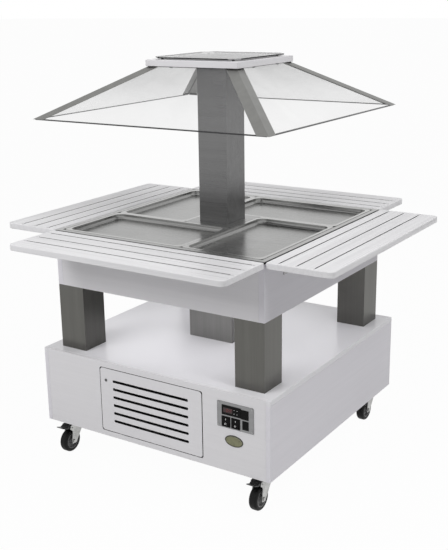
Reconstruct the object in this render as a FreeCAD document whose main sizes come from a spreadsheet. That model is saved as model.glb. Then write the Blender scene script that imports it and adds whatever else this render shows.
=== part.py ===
import FreeCAD, Part
import Sketcher
import math
import os
import re

# Mobile salad bar: a white box on castors carries a stainless well for four shallow pans,
# four fold-down tray shelves, and a column with a clear pyramid canopy.
# Millimetres. +X right along the front, +Y to the back, +Z up, origin on the floor at the centre.

# ------------------------------------------------------------------ driving dimensions

DRIVING = {
    # heights above the floor
    "base_bottom": 135,
    "base_height": 298,
    "apron_bottom": 682,
    "worktop_top": 892,
    "canopy_bottom": 1303.5,
    "slab_bottom": 1478,
    # sides of the square plans
    "base_side": 1000,
    "apron_side": 900,
    "leg_side": 117,
    "duct_side": 195,
    "column_side": 125,
    "slab_side": 392,
    "canopy_side": 970,
    "canopy_top_side": 368,
    "cover_side": 366,
    "cover_corner": 32,
    # boards
    "base_top_board": 18,
    "base_wall": 16,
    "apron_wall": 22,
    "deck_board": 16,
    "shelf_board": 22,
    "slab_board": 23,
    # sheet metal, tube and pane walls
    "sheet": 1.2,
    "leg_wall": 1.5,
    "leg_inset": 2,
    "column_wall": 2,
    "pane_wall": 3,
    "profile_wall": 2,
    "cover_wall": 4,
    "seam": 0.8,
    # service door and its louvre slots
    "door_width": 452,
    "door_height": 250,
    "door_low": 158,
    "door_gap": 2.5,
    "door_hinge_gap": 3.5,
    "door_corner": 11,
    "slot_length": 337,
    "slot_height": 10,
    "slot_pitch": 31.8,
    "slot_count": 6,
    "door_pin_radius": 3,
    "door_pin_inset": 9,
    "latch_x": -200,
    "latch_up": 361,
    # control plate
    "plate_x": 364.5,
    "plate_up": 347,
    "plate_width": 146,
    "plate_height": 95,
    "plate_thick": 2,
    "key_radius": 2.5,
    "key_proud": 0.8,
    "rocker_width": 27,
    "rocker_height": 29,
    # well
    "lip_height": 8,
    "recess_side": 862,
    "recess_depth": 5,
    "well_side": 834,
    "well_floor": 735,
    "collar_side": 129,
    "pan_long": 530,
    "pan_short": 325,
    "pan_depth": 20,
    "pan_rim": 12.5,
    "pan_gap": 1,
    "pan_sheet": 1,
    "bar_width": 20,
    "bar_height": 10,
    # tray shelves and their hinges
    "shelf_length": 905,
    "shelf_depth": 241,
    "shelf_gap": 6,
    "shelf_slot": 5,
    "shelf_slot_first": 43,
    "shelf_slot_pitch": 63.5,
    "shelf_slot_end": 8,
    "shelf_corner": 21,
    "hinge_offset": 12,
    "hinge_drop": 5.6,
    "hinge_x": 300,
    "hinge_width": 50,
    "knuckle_radius": 5,
    "hinge_pin_radius": 2.5,
    "leaf": 2.5,
    # castors
    "castor_inset": 68,
    "castor_trail": 31,
    "wheel_radius": 45,
    "wheel_width": 32,
    "axle_radius": 4,
    "king_radius": 5,
    "running_gap": 0.05,
    # cooling pipe
    "pipe_radius": 4,
    "riser_x": 85,
}

doc = FreeCAD.newDocument("salad_bar")
sheet = doc.addObject("Spreadsheet::Sheet", "dims")
for row, (alias, value) in enumerate(DRIVING.items(), start=1):
    sheet.set(f"A{row}", alias)
    sheet.set(f"B{row}", str(value))
    sheet.setAlias(f"B{row}", alias)
doc.recompute()

# Heights and half sides that follow from the driving dimensions.
BASE_TOP = "(base_bottom + base_height)"
BASE_HALF = "(base_side / 2)"
BASE_IN = "(base_side / 2 - base_wall)"
APRON_HALF = "(apron_side / 2)"
APRON_IN = "(apron_side / 2 - apron_wall)"
APRON_TOP = "(worktop_top - lip_height)"
DECK_TOP = "(apron_bottom + deck_board)"
WELL_HALF = "(well_side / 2)"
WELL_OUT = "(well_side / 2 + sheet)"
LEDGE = "(worktop_top - recess_depth)"
SHELF_LOW = "(worktop_top - shelf_board)"
SHELF_IN = "(apron_side / 2 + shelf_gap)"
HINGE_Y = "(-apron_side / 2 - hinge_offset)"
HINGE_UP = "(worktop_top - shelf_board - hinge_drop)"
SLAB_TOP = "(slab_bottom + slab_board)"
CASTOR = "(base_side / 2 - castor_inset)"
PLATE_FRONT = "(-base_side / 2 - plate_thick)"

X = FreeCAD.Vector(1, 0, 0)
Y = FreeCAD.Vector(0, 1, 0)
Z = FreeCAD.Vector(0, 0, 1)
ALONG = {
    "x": FreeCAD.Rotation(Y, 90),
    "y": FreeCAD.Rotation(X, -90),
    "z": FreeCAD.Rotation(),
}
sub_parts = []


# ------------------------------------------------------------------ helpers

def formula(text):
    """Point each driving word of a size formula at its cell."""
    return re.sub(r"[a-z_]+", lambda word: "dims." * (word[0] in DRIVING) + word[0], str(text))


def number(text):
    """The present value of a size formula."""
    return float(sheet.evalExpression(formula(text)))


def place(thing, point, rotation=None):
    """Turn a piece, then bind its position to three formulas."""
    if rotation is not None:
        thing.Placement = FreeCAD.Placement(FreeCAD.Vector(), rotation)
    for axis, text in zip("xyz", point):
        thing.setExpression(f"Placement.Base.{axis}", formula(text))
    return thing


def box(name, low, size):
    """An upright block from its lowest corner and its three sides."""
    block = doc.addObject("Part::Box", name)
    for side, text in zip(("Length", "Width", "Height"), size):
        block.setExpression(side, formula(text))
    return place(block, low)


def square_block(name, half, low, high):
    """A block with a square plan about the Z axis, from one height to another."""
    side = f"2 * {half}"
    return box(name, (f"-{half}", f"-{half}", low), (side, side, f"{high} - {low}"))


def square_ring(name, outer, inner, low, high):
    """Four flat walls round a square plan: front and back at full width, two between them."""
    wall, rise = f"{outer} - {inner}", f"{high} - {low}"
    walls = []
    for i, side in enumerate((f"-{outer}", inner)):
        walls.append(box(f"{name}_y{i}", (f"-{outer}", side, low), (f"2 * {outer}", wall, rise)))
        walls.append(box(f"{name}_x{i}", (side, f"-{inner}", low), (wall, f"2 * {inner}", rise)))
    return walls


def edge_strips(name, half, across, low, high):
    """Two thin upright strips that mark the joint at the ends of a board."""
    size = ("seam", "seam", f"{high} - {low}")
    ends = (f"-{half}", f"{half} - seam")
    return [box(f"{name}_{i}", (x, across, low), size) for i, x in enumerate(ends)]


def rod(name, start, length, radius, along="z"):
    """A round bar that runs from its start point in the +X, +Y or +Z direction."""
    bar = doc.addObject("Part::Cylinder", name)
    bar.setExpression("Radius", formula(radius))
    bar.setExpression("Height", formula(length))
    return place(bar, start, ALONG[along])


def fuse(name, *pieces):
    """One solid from pieces that touch or overlap."""
    whole = doc.addObject("Part::MultiFuse", name)
    whole.Shapes = list(pieces)
    whole.Refine = True
    return whole


def cut(name, base, *tools):
    """A base piece with the tool pieces taken away."""
    rest = doc.addObject("Part::Cut", name)
    rest.Base = base
    rest.Tool = tools[0] if len(tools) == 1 else fuse(name + "_tools", *tools)
    rest.Refine = True
    return rest


def group(name, *pieces):
    """Separate solids that share one node."""
    together = doc.addObject("Part::Compound", name)
    together.Links = list(pieces)
    return together


def keep(thing, label):
    """Make a piece one of the sub-parts that are written out."""
    thing.Label = label
    sub_parts.append(thing)
    return thing


def spin(thing, quarter_turns):
    """Turn a finished piece about the Z axis through the origin by quarter turns."""
    thing.Placement = FreeCAD.Placement(FreeCAD.Vector(), FreeCAD.Rotation(Z, 90 * quarter_turns))
    return thing


def new_body(name):
    return doc.addObject("PartDesign::Body", name)


def sketch_on(body, name, role="XY_Plane", lift="0"):
    """A sketch on one of the body's own origin planes, lifted along its normal."""
    sketch = body.newObject("Sketcher::SketchObject", name)
    plane = next(part for part in body.Origin.OriginFeatures if part.Role == role)
    sketch.AttachmentSupport = [(plane, "")]
    sketch.MapMode = "FlatFace"
    sketch.setExpression("AttachmentOffset.Base.z", formula(lift))
    return sketch


def limit(sketch, kind, *where):
    """A dimension of the sketch bound to a formula, the last item of where."""
    text = where[-1]
    index = sketch.addConstraint(Sketcher.Constraint(kind, *where[:-1], number(text)))
    sketch.setExpression(f"Constraints[{index}]", formula(text))


def outline(sketch, corners):
    """A closed polygon whose corners are pairs of formulas."""
    points = [FreeCAD.Vector(number(x), number(y), 0) for x, y in corners]
    first = sketch.GeometryCount
    count = len(points)
    sides = [Part.LineSegment(points[i], points[(i + 1) % count]) for i in range(count)]
    sketch.addGeometry(sides, False)
    for i, (x, y) in enumerate(corners):
        following = first + (i + 1) % count
        sketch.addConstraint(Sketcher.Constraint("Coincident", first + i, 2, following, 1))
        limit(sketch, "DistanceX", -1, 1, first + i, 1, x)
        limit(sketch, "DistanceY", -1, 1, first + i, 1, y)


def rectangle(sketch, left, low, width, height):
    right = f"{left} + {width}"
    high = f"{low} + {height}"
    outline(sketch, [(left, low), (right, low), (right, high), (left, high)])


def rounded_rectangle(sketch, left, low, width, height, radius):
    """A rectangle with four equal corner arcs, made of side, arc, side, arc and so on."""
    x, y, w, h, r = (number(text) for text in (left, low, width, height, radius))
    first = sketch.GeometryCount
    ends = [
        ((x + r, y), (x + w - r, y), (x + w - r, y + r)),
        ((x + w, y + r), (x + w, y + h - r), (x + w - r, y + h - r)),
        ((x + w - r, y + h), (x + r, y + h), (x + r, y + h - r)),
        ((x, y + h - r), (x, y + r), (x + r, y + r)),
    ]
    for i, (start, end, centre) in enumerate(ends):
        side = Part.LineSegment(FreeCAD.Vector(*start, 0), FreeCAD.Vector(*end, 0))
        circle = Part.Circle(FreeCAD.Vector(*centre, 0), Z, r)
        turn = math.pi / 2
        corner = Part.ArcOfCircle(circle, (i - 1) * turn, i * turn)
        sketch.addGeometry([side, corner], False)
    sides = [first, first + 2, first + 4, first + 6]
    for i, side in enumerate(sides):
        direction = "Horizontal" if i % 2 == 0 else "Vertical"
        sketch.addConstraint(Sketcher.Constraint(direction, side))
        sketch.addConstraint(Sketcher.Constraint("Tangent", side, 2, side + 1, 1))
        sketch.addConstraint(Sketcher.Constraint("Tangent", side + 1, 2, sides[(i + 1) % 4], 1))
    for side in sides[1:]:
        sketch.addConstraint(Sketcher.Constraint("Equal", first + 1, side + 1))
    limit(sketch, "Radius", first + 1, radius)
    limit(sketch, "DistanceX", -1, 1, sides[3], 1, left)
    limit(sketch, "DistanceY", -1, 1, sides[0], 1, low)
    limit(sketch, "DistanceX", sides[3], 1, sides[1], 1, width)
    limit(sketch, "DistanceY", sides[0], 1, sides[2], 1, height)


def circle(sketch, x, y, radius):
    centre = FreeCAD.Vector(number(x), number(y), 0)
    index = sketch.addGeometry(Part.Circle(centre, Z, number(radius)), False)
    limit(sketch, "DistanceX", -1, 1, index, 3, x)
    limit(sketch, "DistanceY", -1, 1, index, 3, y)
    limit(sketch, "Radius", index, radius)


def pad(body, sketch, length, both_ways=False):
    feature = body.newObject("PartDesign::Pad", sketch.Name + "_pad")
    feature.Profile = sketch
    feature.setExpression("Length", formula(length))
    if both_ways:
        feature.SideType = "Symmetric"
    doc.recompute()
    return feature


def pocket(body, sketch, depth=None, both_ways=False, backwards=False):
    """Take the sketch away, right through where no depth is given, and check that it cut."""
    before = body.Shape.Volume
    feature = body.newObject("PartDesign::Pocket", sketch.Name + "_pocket")
    feature.Profile = sketch
    if depth is None:
        feature.Type = "ThroughAll"
    else:
        feature.setExpression("Length", formula(depth))
    if both_ways or depth is None:
        feature.SideType = "Symmetric"
    feature.Reversed = backwards
    doc.recompute()
    if body.Shape.Volume >= before:
        raise RuntimeError(sketch.Name + " cuts nothing")
    return feature


def repeat(body, feature, sketch, axis, count, span):
    """A row of equal features along one axis of their sketch."""
    row = body.newObject("PartDesign::LinearPattern", feature.Name + "_row")
    row.Originals = [feature]
    row.Direction = (sketch, [axis])
    row.setExpression("Length", formula(span))
    row.setExpression("Occurrences", formula(count))
    body.Tip = row
    doc.recompute()
    return row


def round_edges(body, radius, test):
    """A fillet on each edge of the body whose bounding box passes the test."""
    tip = body.Tip
    names = [f"Edge{i + 1}" for i, edge in enumerate(tip.Shape.Edges) if test(edge.BoundBox)]
    feature = body.newObject("PartDesign::Fillet", f"{body.Name}_round_{len(body.Group)}")
    feature.Base = (tip, names)
    feature.setExpression("Radius", formula(radius))
    doc.recompute()
    return feature


def flat_at(level, tolerance=0.01):
    """A test for edges that lie at one height."""
    return lambda bounds: abs(bounds.ZMin - level) < tolerance and abs(bounds.ZMax - level) < tolerance


def bent_path(points, radius):
    """Straight runs joined by tangent arcs of one radius, as one wire."""
    edges = []
    start = points[0]
    for corner, following in zip(points[1:-1], points[2:]):
        back = (start - corner).normalize()
        ahead = (following - corner).normalize()
        half_turn = back.getAngle(ahead) / 2
        reach = radius / math.tan(half_turn)
        enter = corner + back * reach
        leave = corner + ahead * reach
        bisector = (back + ahead).normalize()
        middle = corner + bisector * (radius / math.sin(half_turn) - radius)
        edges.append(Part.LineSegment(start, enter).toShape())
        edges.append(Part.Arc(enter, middle, leave).toShape())
        start = leave
    edges.append(Part.LineSegment(start, points[-1]).toShape())
    return Part.Wire(edges)


def pipe(name, points, radius, bend):
    """A round pipe along a bent path."""
    path = bent_path(points, bend)
    first = path.Edges[0]
    direction = first.tangentAt(first.FirstParameter)
    ring = Part.Wire(Part.makeCircle(radius, points[0], direction))
    tube = doc.addObject("Part::Feature", name)
    tube.Shape = path.makePipeShell([ring], True, False)
    return tube


# ------------------------------------------------------------------ base box

def base_floor_panel():
    return square_block("floor_panel", BASE_IN, "base_bottom", "(base_bottom + base_wall)")


LEG_CENTRE = "(apron_side / 2 - leg_side / 2)"
LEG_CORNERS = ((-1, -1), (1, -1), (1, 1), (-1, 1))
LEG_FOOT = f"({BASE_TOP} - leg_inset)"


def foot_recess(name, x, y, side):
    """A shallow square in the base's top that the foot of an upright tube drops into."""
    half = f"({side} / 2 + 0.2)"
    return box(name, (f"{x} - {half}", f"{y} - {half}", LEG_FOOT), (f"2 * {half}", f"2 * {half}", "leg_inset"))


def base_top_panel():
    """Lies on the side panels and fits between the full-height front and back panels."""
    low = f"({BASE_TOP} - base_top_board)"
    board = square_block("top_board", BASE_HALF, low, BASE_TOP)
    notch_size = (f"2 * {BASE_IN}", "base_wall", "base_top_board")
    front_notch = box("front_notch", (f"-{BASE_IN}", f"-{BASE_HALF}", low), notch_size)
    back_notch = box("back_notch", (f"-{BASE_IN}", BASE_IN, low), notch_size)
    duct_hole = square_block("duct_hole", "(duct_side / 2 - 4)", low, BASE_TOP)
    feet = [
        foot_recess(f"leg_recess_{i}", f"{sx} * {LEG_CENTRE}", f"{sy} * {LEG_CENTRE}", "leg_side")
        for i, (sx, sy) in enumerate(LEG_CORNERS)
    ]
    feet.append(foot_recess("duct_recess", "0", "0", "duct_side"))
    return cut("top_panel", board, front_notch, back_notch, duct_hole, *feet)


def base_front_panel():
    """Full-height board between the side panels, cut out for the door and the controls."""
    body = new_body("front_board")
    face = sketch_on(body, "front_face", "XZ_Plane")
    rectangle(face, f"-{BASE_IN}", "base_bottom", f"2 * {BASE_IN}", "base_height")
    pad(body, face, "base_wall")
    opening = sketch_on(body, "door_opening", "XZ_Plane")
    rounded_rectangle(
        opening,
        "-door_width / 2 - door_gap",
        "door_low - door_gap",
        "door_width + door_gap + door_hinge_gap",
        "door_height + 2 * door_gap",
        "door_corner - 2",
    )
    pocket(body, opening)
    cutout = sketch_on(body, "control_cutout", "XZ_Plane")
    rectangle(cutout, "plate_x - plate_width / 2 + 15", "plate_up - 44", "plate_width - 34", "86")
    pocket(body, cutout)
    place(body, ("0", f"-{BASE_IN}", "0"))
    sockets = [
        rod(f"pin_socket_{end}", (DOOR_PIN_X, DOOR_PIN_Y, low), "9", "door_pin_radius + running_gap")
        for end, low in (
            ("low", "door_low - door_gap - 8"),
            ("high", "door_low + door_height + door_gap - 1"),
        )
    ]
    strips = edge_strips("front_seam", BASE_IN, f"-{BASE_HALF}", "base_bottom", BASE_TOP)
    return cut("front_panel", body, *sockets, *strips)


def base_back_panel():
    """Full-height board with a row of air slots and the cut-out of the power inlet."""
    board = box(
        "back_board",
        (f"-{BASE_IN}", BASE_IN, "base_bottom"),
        (f"2 * {BASE_IN}", "base_wall", "base_height"),
    )
    slots = [
        box(
            f"back_slot_{i}",
            ("-slot_length / 2", BASE_IN, f"door_low + 40 + {i} * slot_pitch"),
            ("slot_length", "base_wall", "slot_height"),
        )
        for i in range(DRIVING["slot_count"])
    ]
    inlet = box("inlet_hole", ("366", BASE_IN, "186"), ("28", "base_wall", "48"))
    strips = edge_strips("back_seam", BASE_IN, f"({BASE_HALF} - seam)", "base_bottom", BASE_TOP)
    return cut("back_panel", board, *slots, inlet, *strips)


def base_side_panels():
    """The two side panels run the full depth, so their ends show on the front."""
    size = ("base_wall", "base_side", "base_height - base_top_board")
    strip = ("seam", "base_side", "seam")
    seam_low = f"{BASE_TOP} - base_top_board - seam"
    panels = []
    for side, inner, outer in (
        ("left", f"-{BASE_HALF}", f"-{BASE_HALF}"),
        ("right", BASE_IN, f"{BASE_HALF} - seam"),
    ):
        board = box(f"{side}_board", (inner, f"-{BASE_HALF}", "base_bottom"), size)
        edge = box(f"{side}_seam", (outer, f"-{BASE_HALF}", seam_low), strip)
        panels.append(cut(f"{side}_panel", board, edge))
    return group("side_panels", *panels)


# ------------------------------------------------------------------ service door

DOOR_PIN_X = "(door_width / 2 - door_pin_inset)"
DOOR_PIN_Y = f"(-{BASE_HALF} + 7)"


def door_panel():
    """Louvred board: six through slots, a hole for the latch and two pin holes at the right."""
    body = new_body("door_board")
    face = sketch_on(body, "door_face", "XZ_Plane")
    rounded_rectangle(face, "-door_width / 2", "door_low", "door_width", "door_height", "door_corner")
    pad(body, face, "base_wall")
    slot = sketch_on(body, "louvre_slot", "XZ_Plane")
    lowest = "door_low + (door_height - (slot_count - 1) * slot_pitch - slot_height) / 2"
    rounded_rectangle(slot, "-slot_length / 2", lowest, "slot_length", "slot_height", "4")
    first_slot = pocket(body, slot)
    repeat(body, first_slot, slot, "V_Axis", "slot_count", "(slot_count - 1) * slot_pitch")
    hole = sketch_on(body, "latch_hole", "XZ_Plane")
    circle(hole, "latch_x", "latch_up", "4.5 + running_gap")
    pocket(body, hole)
    place(body, ("0", f"-{BASE_IN}", "0"))
    pin_holes = [
        rod(f"door_pin_hole_{end}", (DOOR_PIN_X, DOOR_PIN_Y, low), "12", "door_pin_radius")
        for end, low in (("low", "door_low"), ("high", "door_low + door_height - 12"))
    ]
    return cut("louvred_door", body, *pin_holes)


def door_pins():
    """Two pins fixed in the door that turn in the front panel."""
    length = "12 + door_gap + 7"
    low = rod("pin_low", (DOOR_PIN_X, DOOR_PIN_Y, "door_low - door_gap - 7"), length, "door_pin_radius")
    high_start = "door_low + door_height - 12"
    high = rod("pin_high", (DOOR_PIN_X, DOOR_PIN_Y, high_start), length, "door_pin_radius")
    return group("pins", low, high)


def door_latch():
    """Quarter-turn latch: slotted head, barrel through the door, cam behind it, here unlocked."""
    head = rod("latch_head", ("latch_x", f"-{BASE_HALF} - 1.2", "latch_up"), "1.2", "5.5", "y")
    barrel = rod("latch_barrel", ("latch_x", f"-{BASE_HALF}", "latch_up"), "23", "4.5", "y")
    cam = box("latch_cam", ("latch_x - 6", f"-{BASE_IN} + 2", "latch_up - 6"), ("12", "3", "44"))
    key_slot = box(
        "latch_slot",
        ("latch_x - 0.9", f"-{BASE_HALF} - 1.2", "latch_up - 4"),
        ("1.8", "2.2", "8"),
    )
    return cut("quarter_turn", fuse("latch_body", head, barrel, cam), key_slot)


# ------------------------------------------------------------------ controls

# Centres of the modules from the middle of the control plate, and their flange sizes.
THERMOSTAT = ("plate_x - 15", "plate_up + 18.5", 76, 35)
ROCKERS = {
    "main": ("plate_x - 37", "plate_up - 24.5"),
    "light": ("plate_x + 2", "plate_up - 24.5"),
}
ROCKER_FLANGE = (34, 38)
BLANKS = (("plate_x + 38.5", "plate_up + 16", 29, 34), ("plate_x + 41", "plate_up - 22.5", 24, 32))
KEYS = [(12.5, 6.5), (24.5, 6.5), (12.5, -6.5), (24.5, -6.5)]


def front_block(name, centre_x, centre_up, width, height, front, depth):
    """A block behind the front plane, from its centre, its face size and its front."""
    low = (f"{centre_x} - {width} / 2", front, f"{centre_up} - {height} / 2")
    return box(name, low, (width, depth, height))


def control_bezel():
    """Metal plate with one window for each module."""
    body = new_body("bezel_body")
    face = sketch_on(body, "bezel_face", "XZ_Plane")
    rounded_rectangle(
        face,
        "plate_x - plate_width / 2",
        "plate_up - plate_height / 2",
        "plate_width",
        "plate_height",
        "4",
    )
    pad(body, face, "plate_thick")
    windows = sketch_on(body, "bezel_windows", "XZ_Plane")
    x, up, width, height = THERMOSTAT
    rectangle(windows, f"{x} - {width - 4} / 2", f"{up} - {height - 4} / 2", f"{width - 4}", f"{height - 4}")
    for x, up, width, height in BLANKS:
        rectangle(windows, f"{x} - {width - 4} / 2", f"{up} - {height - 4} / 2", f"{width - 4}", f"{height - 4}")
    for x, up in ROCKERS.values():
        rectangle(windows, f"{x} - 31 / 2", f"{up} - 35.4 / 2", "31", "35.4")
    pocket(body, windows)
    for x_sign in (-1, 1):
        for up_sign in (-1, 1):
            name = f"screw_hole_{x_sign + 1}{up_sign + 1}"
            hole = sketch_on(body, name, "XZ_Plane")
            circle(hole, screw_x(x_sign), screw_up(up_sign), "1.7")
            pocket(body, hole)
    return place(body, ("0", f"-{BASE_HALF}", "0"))


def screw_x(sign):
    return f"plate_x + {sign} * (plate_width / 2 - 6)"


def screw_up(sign):
    return f"plate_up + {sign} * (plate_height / 2 - 6)"


def control_modules():
    """Thermostat, two rocker housings and two blanking caps, clipped into the plate."""
    x, up, width, height = THERMOSTAT
    flange = front_block("thermostat_flange", x, up, width, height, f"{PLATE_FRONT} - 2", "2")
    case = front_block("thermostat_case", x, up, width - 5, height - 5, PLATE_FRONT, "58")
    display = front_block("display_recess", f"{x} - 14", up, 38, 19, f"{PLATE_FRONT} - 2", "0.6")
    key_holes = [
        rod(
            f"key_hole_{i}",
            (f"{x} + {across}", f"{PLATE_FRONT} - 2", f"{up} + {above}"),
            "3.2",
            "key_radius + running_gap",
            "y",
        )
        for i, (across, above) in enumerate(KEYS)
    ]
    thermostat = cut("thermostat", fuse("thermostat_solid", flange, case), display, *key_holes)
    housings = [rocker_housing(name, *centre) for name, centre in ROCKERS.items()]
    caps = []
    for i, (x, up, width, height) in enumerate(BLANKS):
        cap = front_block(f"cap_flange_{i}", x, up, width, height, f"{PLATE_FRONT} - 1.6", "1.6")
        stub = front_block(f"cap_stub_{i}", x, up, width - 4, height - 4, PLATE_FRONT, "12")
        caps.append(fuse(f"blanking_cap_{i}", cap, stub))
    return group("modules", thermostat, *housings, *caps)


ROCKER_PIVOT_Y = f"({PLATE_FRONT} + 4)"


def rocker_housing(name, x, up):
    flange = front_block(f"{name}_flange", x, up, *ROCKER_FLANGE, f"{PLATE_FRONT} - 2", "2")
    case = front_block(f"{name}_case", x, up, 30.6, 35, PLATE_FRONT, "24")
    mouth = front_block(f"{name}_mouth", x, up, 27.8, 32.8, f"{PLATE_FRONT} - 2", "24")
    pivot = rod(
        f"{name}_pivot_hole",
        (f"{x} - 30.6 / 2", ROCKER_PIVOT_Y, up),
        "30.6",
        "1.5 + running_gap",
        "x",
    )
    return cut(f"{name}_housing", fuse(f"{name}_shell", flange, case), mouth, pivot)


def thermostat_key(i):
    x, up, width, height = THERMOSTAT
    across, above = KEYS[i]
    start = (f"{x} + {across}", f"{PLATE_FRONT} - 2 - key_proud", f"{up} + {above}")
    return rod(f"key_{i}", start, "2.2 + key_proud", "key_radius", "y")


ROCKER_TILT = 7


def rocker(name):
    """Paddle with two flats that meet in a shallow V, resting with its upper half pressed."""
    x, up = ROCKERS[name]
    body = new_body(f"{name}_paddle")
    profile = sketch_on(body, f"{name}_profile", "YZ_Plane")
    half = "rocker_height / 2"
    outline(
        profile,
        [
            ("-6.5", "0"),
            ("-8.3", f"-{half}"),
            ("2", f"-{half}"),
            ("7", "0"),
            ("2", half),
            ("-8.3", half),
        ],
    )
    pad(body, profile, "rocker_width", both_ways=True)
    pivot = sketch_on(body, f"{name}_trunnion", "YZ_Plane")
    circle(pivot, "0", "0", "1.5")
    pad(body, pivot, "rocker_width + 3", both_ways=True)
    return place(body, (x, ROCKER_PIVOT_Y, up), FreeCAD.Rotation(X, -ROCKER_TILT))


def power_inlet():
    """Appliance inlet in the back panel, with its recess open to the back."""
    flange = box("inlet_flange", ("355", BASE_HALF, "180"), ("50", "3", "60"))
    case = box("inlet_case", ("366", f"{BASE_HALF} - 28", "186"), ("28", "28", "48"))
    recess = box("inlet_recess", ("369", f"{BASE_HALF} - 20", "197"), ("22", "23", "26"))
    blades = [
        box(f"inlet_blade_{i}", (f"{x}", f"{BASE_HALF} - 24", f"{up}"), ("2", "18", "6"))
        for i, (x, up) in enumerate(((372, 206), (386, 206), (379, 213)))
    ]
    socket = cut("inlet_socket", fuse("inlet_solid", flange, case), recess)
    return fuse("inlet", socket, *blades)


# ------------------------------------------------------------------ legs and duct

def square_tube(name, x, y, side, wall, low, high):
    """An upright square tube, open at both ends, from its centre and its outer side."""
    height = f"{high} - {low}"
    outer = box(name + "_out", (f"{x} - {side} / 2", f"{y} - {side} / 2", low), (side, side, height))
    bore = f"({side} - 2 * {wall})"
    inner = box(name + "_bore", (f"{x} - {bore} / 2", f"{y} - {bore} / 2", low), (bore, bore, height))
    return cut(name, outer, inner)


def legs():
    """Four square tubes, flush with the corners of the upper box."""
    tubes = []
    for i, (sx, sy) in enumerate(LEG_CORNERS):
        x, y = f"{sx} * {LEG_CENTRE}", f"{sy} * {LEG_CENTRE}"
        tubes.append(square_tube(f"leg_{i}", x, y, "leg_side", "leg_wall", LEG_FOOT, "apron_bottom"))
    return group("leg_tubes", *tubes)


def service_duct():
    return square_tube("duct", "0", "0", "duct_side", "leg_wall", LEG_FOOT, "apron_bottom")


# ------------------------------------------------------------------ upper box

def apron_side_boards():
    size = ("apron_wall", "apron_side", f"{APRON_TOP} - apron_bottom")
    left = box("apron_left", (f"-{APRON_HALF}", f"-{APRON_HALF}", "apron_bottom"), size)
    right = box("apron_right", (APRON_IN, f"-{APRON_HALF}", "apron_bottom"), size)
    return group("apron_sides", left, right)


def apron_cross_boards():
    """Front and back boards, which fit between the side boards."""
    size = (f"2 * {APRON_IN}", "apron_wall", f"{APRON_TOP} - apron_bottom")
    boards = []
    for side, low, face in (
        ("front", f"-{APRON_HALF}", f"-{APRON_HALF}"),
        ("back", APRON_IN, f"({APRON_HALF} - seam)"),
    ):
        board = box(f"apron_{side}_board", (f"-{APRON_IN}", low, "apron_bottom"), size)
        strips = edge_strips(f"apron_{side}_seam", APRON_IN, face, "apron_bottom", APRON_TOP)
        boards.append(cut(f"apron_{side}", board, *strips))
    return group("apron_cross", *boards)


RISERS = (("-riser_x", "30"), ("riser_x", "-riser_x"))
DRAIN = ("300", "300")


def deck_panel():
    """Underside panel that carries the column foot, with holes for two pipes and the drain."""
    board = square_block("deck_board_block", APRON_IN, "apron_bottom", DECK_TOP)
    holes = [
        rod(f"deck_riser_{i}", (x, y, "apron_bottom"), "deck_board", "pipe_radius + 3")
        for i, (x, y) in enumerate(RISERS)
    ]
    drain = rod("deck_drain", (*DRAIN, "apron_bottom"), "deck_board", "13")
    return cut("deck", board, *holes, drain)


def well_tub():
    """Sheet tub: outer lip, flange, recessed ledge for the rims, deep well, collar and drain."""
    under = "(worktop_top - sheet)"
    recess, recess_out = "(recess_side / 2)", "(recess_side / 2 + sheet)"
    collar, collar_out = "(collar_side / 2)", "(collar_side / 2 + sheet)"
    low = "(well_floor - sheet)"
    walls = [
        *square_ring("tub_lip", APRON_HALF, "(apron_side / 2 - sheet)", APRON_TOP, under),
        *square_ring("tub_flange", APRON_HALF, recess, under, "worktop_top"),
        *square_ring("tub_recess", recess_out, recess, f"({LEDGE} - sheet)", under),
        *square_ring("tub_ledge", recess, WELL_HALF, f"({LEDGE} - sheet)", LEDGE),
        *square_ring("tub_well", WELL_OUT, WELL_HALF, low, f"({LEDGE} - sheet)"),
        *square_ring("tub_collar", collar_out, collar, low, "(worktop_top - 22)"),
    ]
    floor = cut(
        "tub_floor",
        square_block("floor_sheet", WELL_HALF, low, "well_floor"),
        square_block("collar_hole", collar_out, low, "well_floor"),
        rod("drain_hole", (*DRAIN, low), "sheet", "10"),
    )
    start, length = (*DRAIN, "apron_bottom - 6"), "well_floor - apron_bottom + 6"
    spout = cut(
        "tub_spout",
        rod("drain_spout", start, length, "10"),
        rod("drain_bore", start, length, "8.5"),
    )
    return group("tub", *walls, floor, spout)


INSULATION_TOP = "(well_floor - sheet - 2 * pipe_radius)"


def well_insulation():
    """Foam tray under and round the tub, open in the middle and at the drain."""
    block = square_block("foam_block", APRON_IN, DECK_TOP, APRON_TOP)
    space = square_block("foam_space", WELL_OUT, INSULATION_TOP, APRON_TOP)
    middle = square_block("foam_middle", "(riser_x + 17)", DECK_TOP, INSULATION_TOP)
    drain = rod("foam_drain", (*DRAIN, DECK_TOP), f"{INSULATION_TOP} - {DECK_TOP}", "11")
    return cut("foam", block, space, middle, drain)


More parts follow.
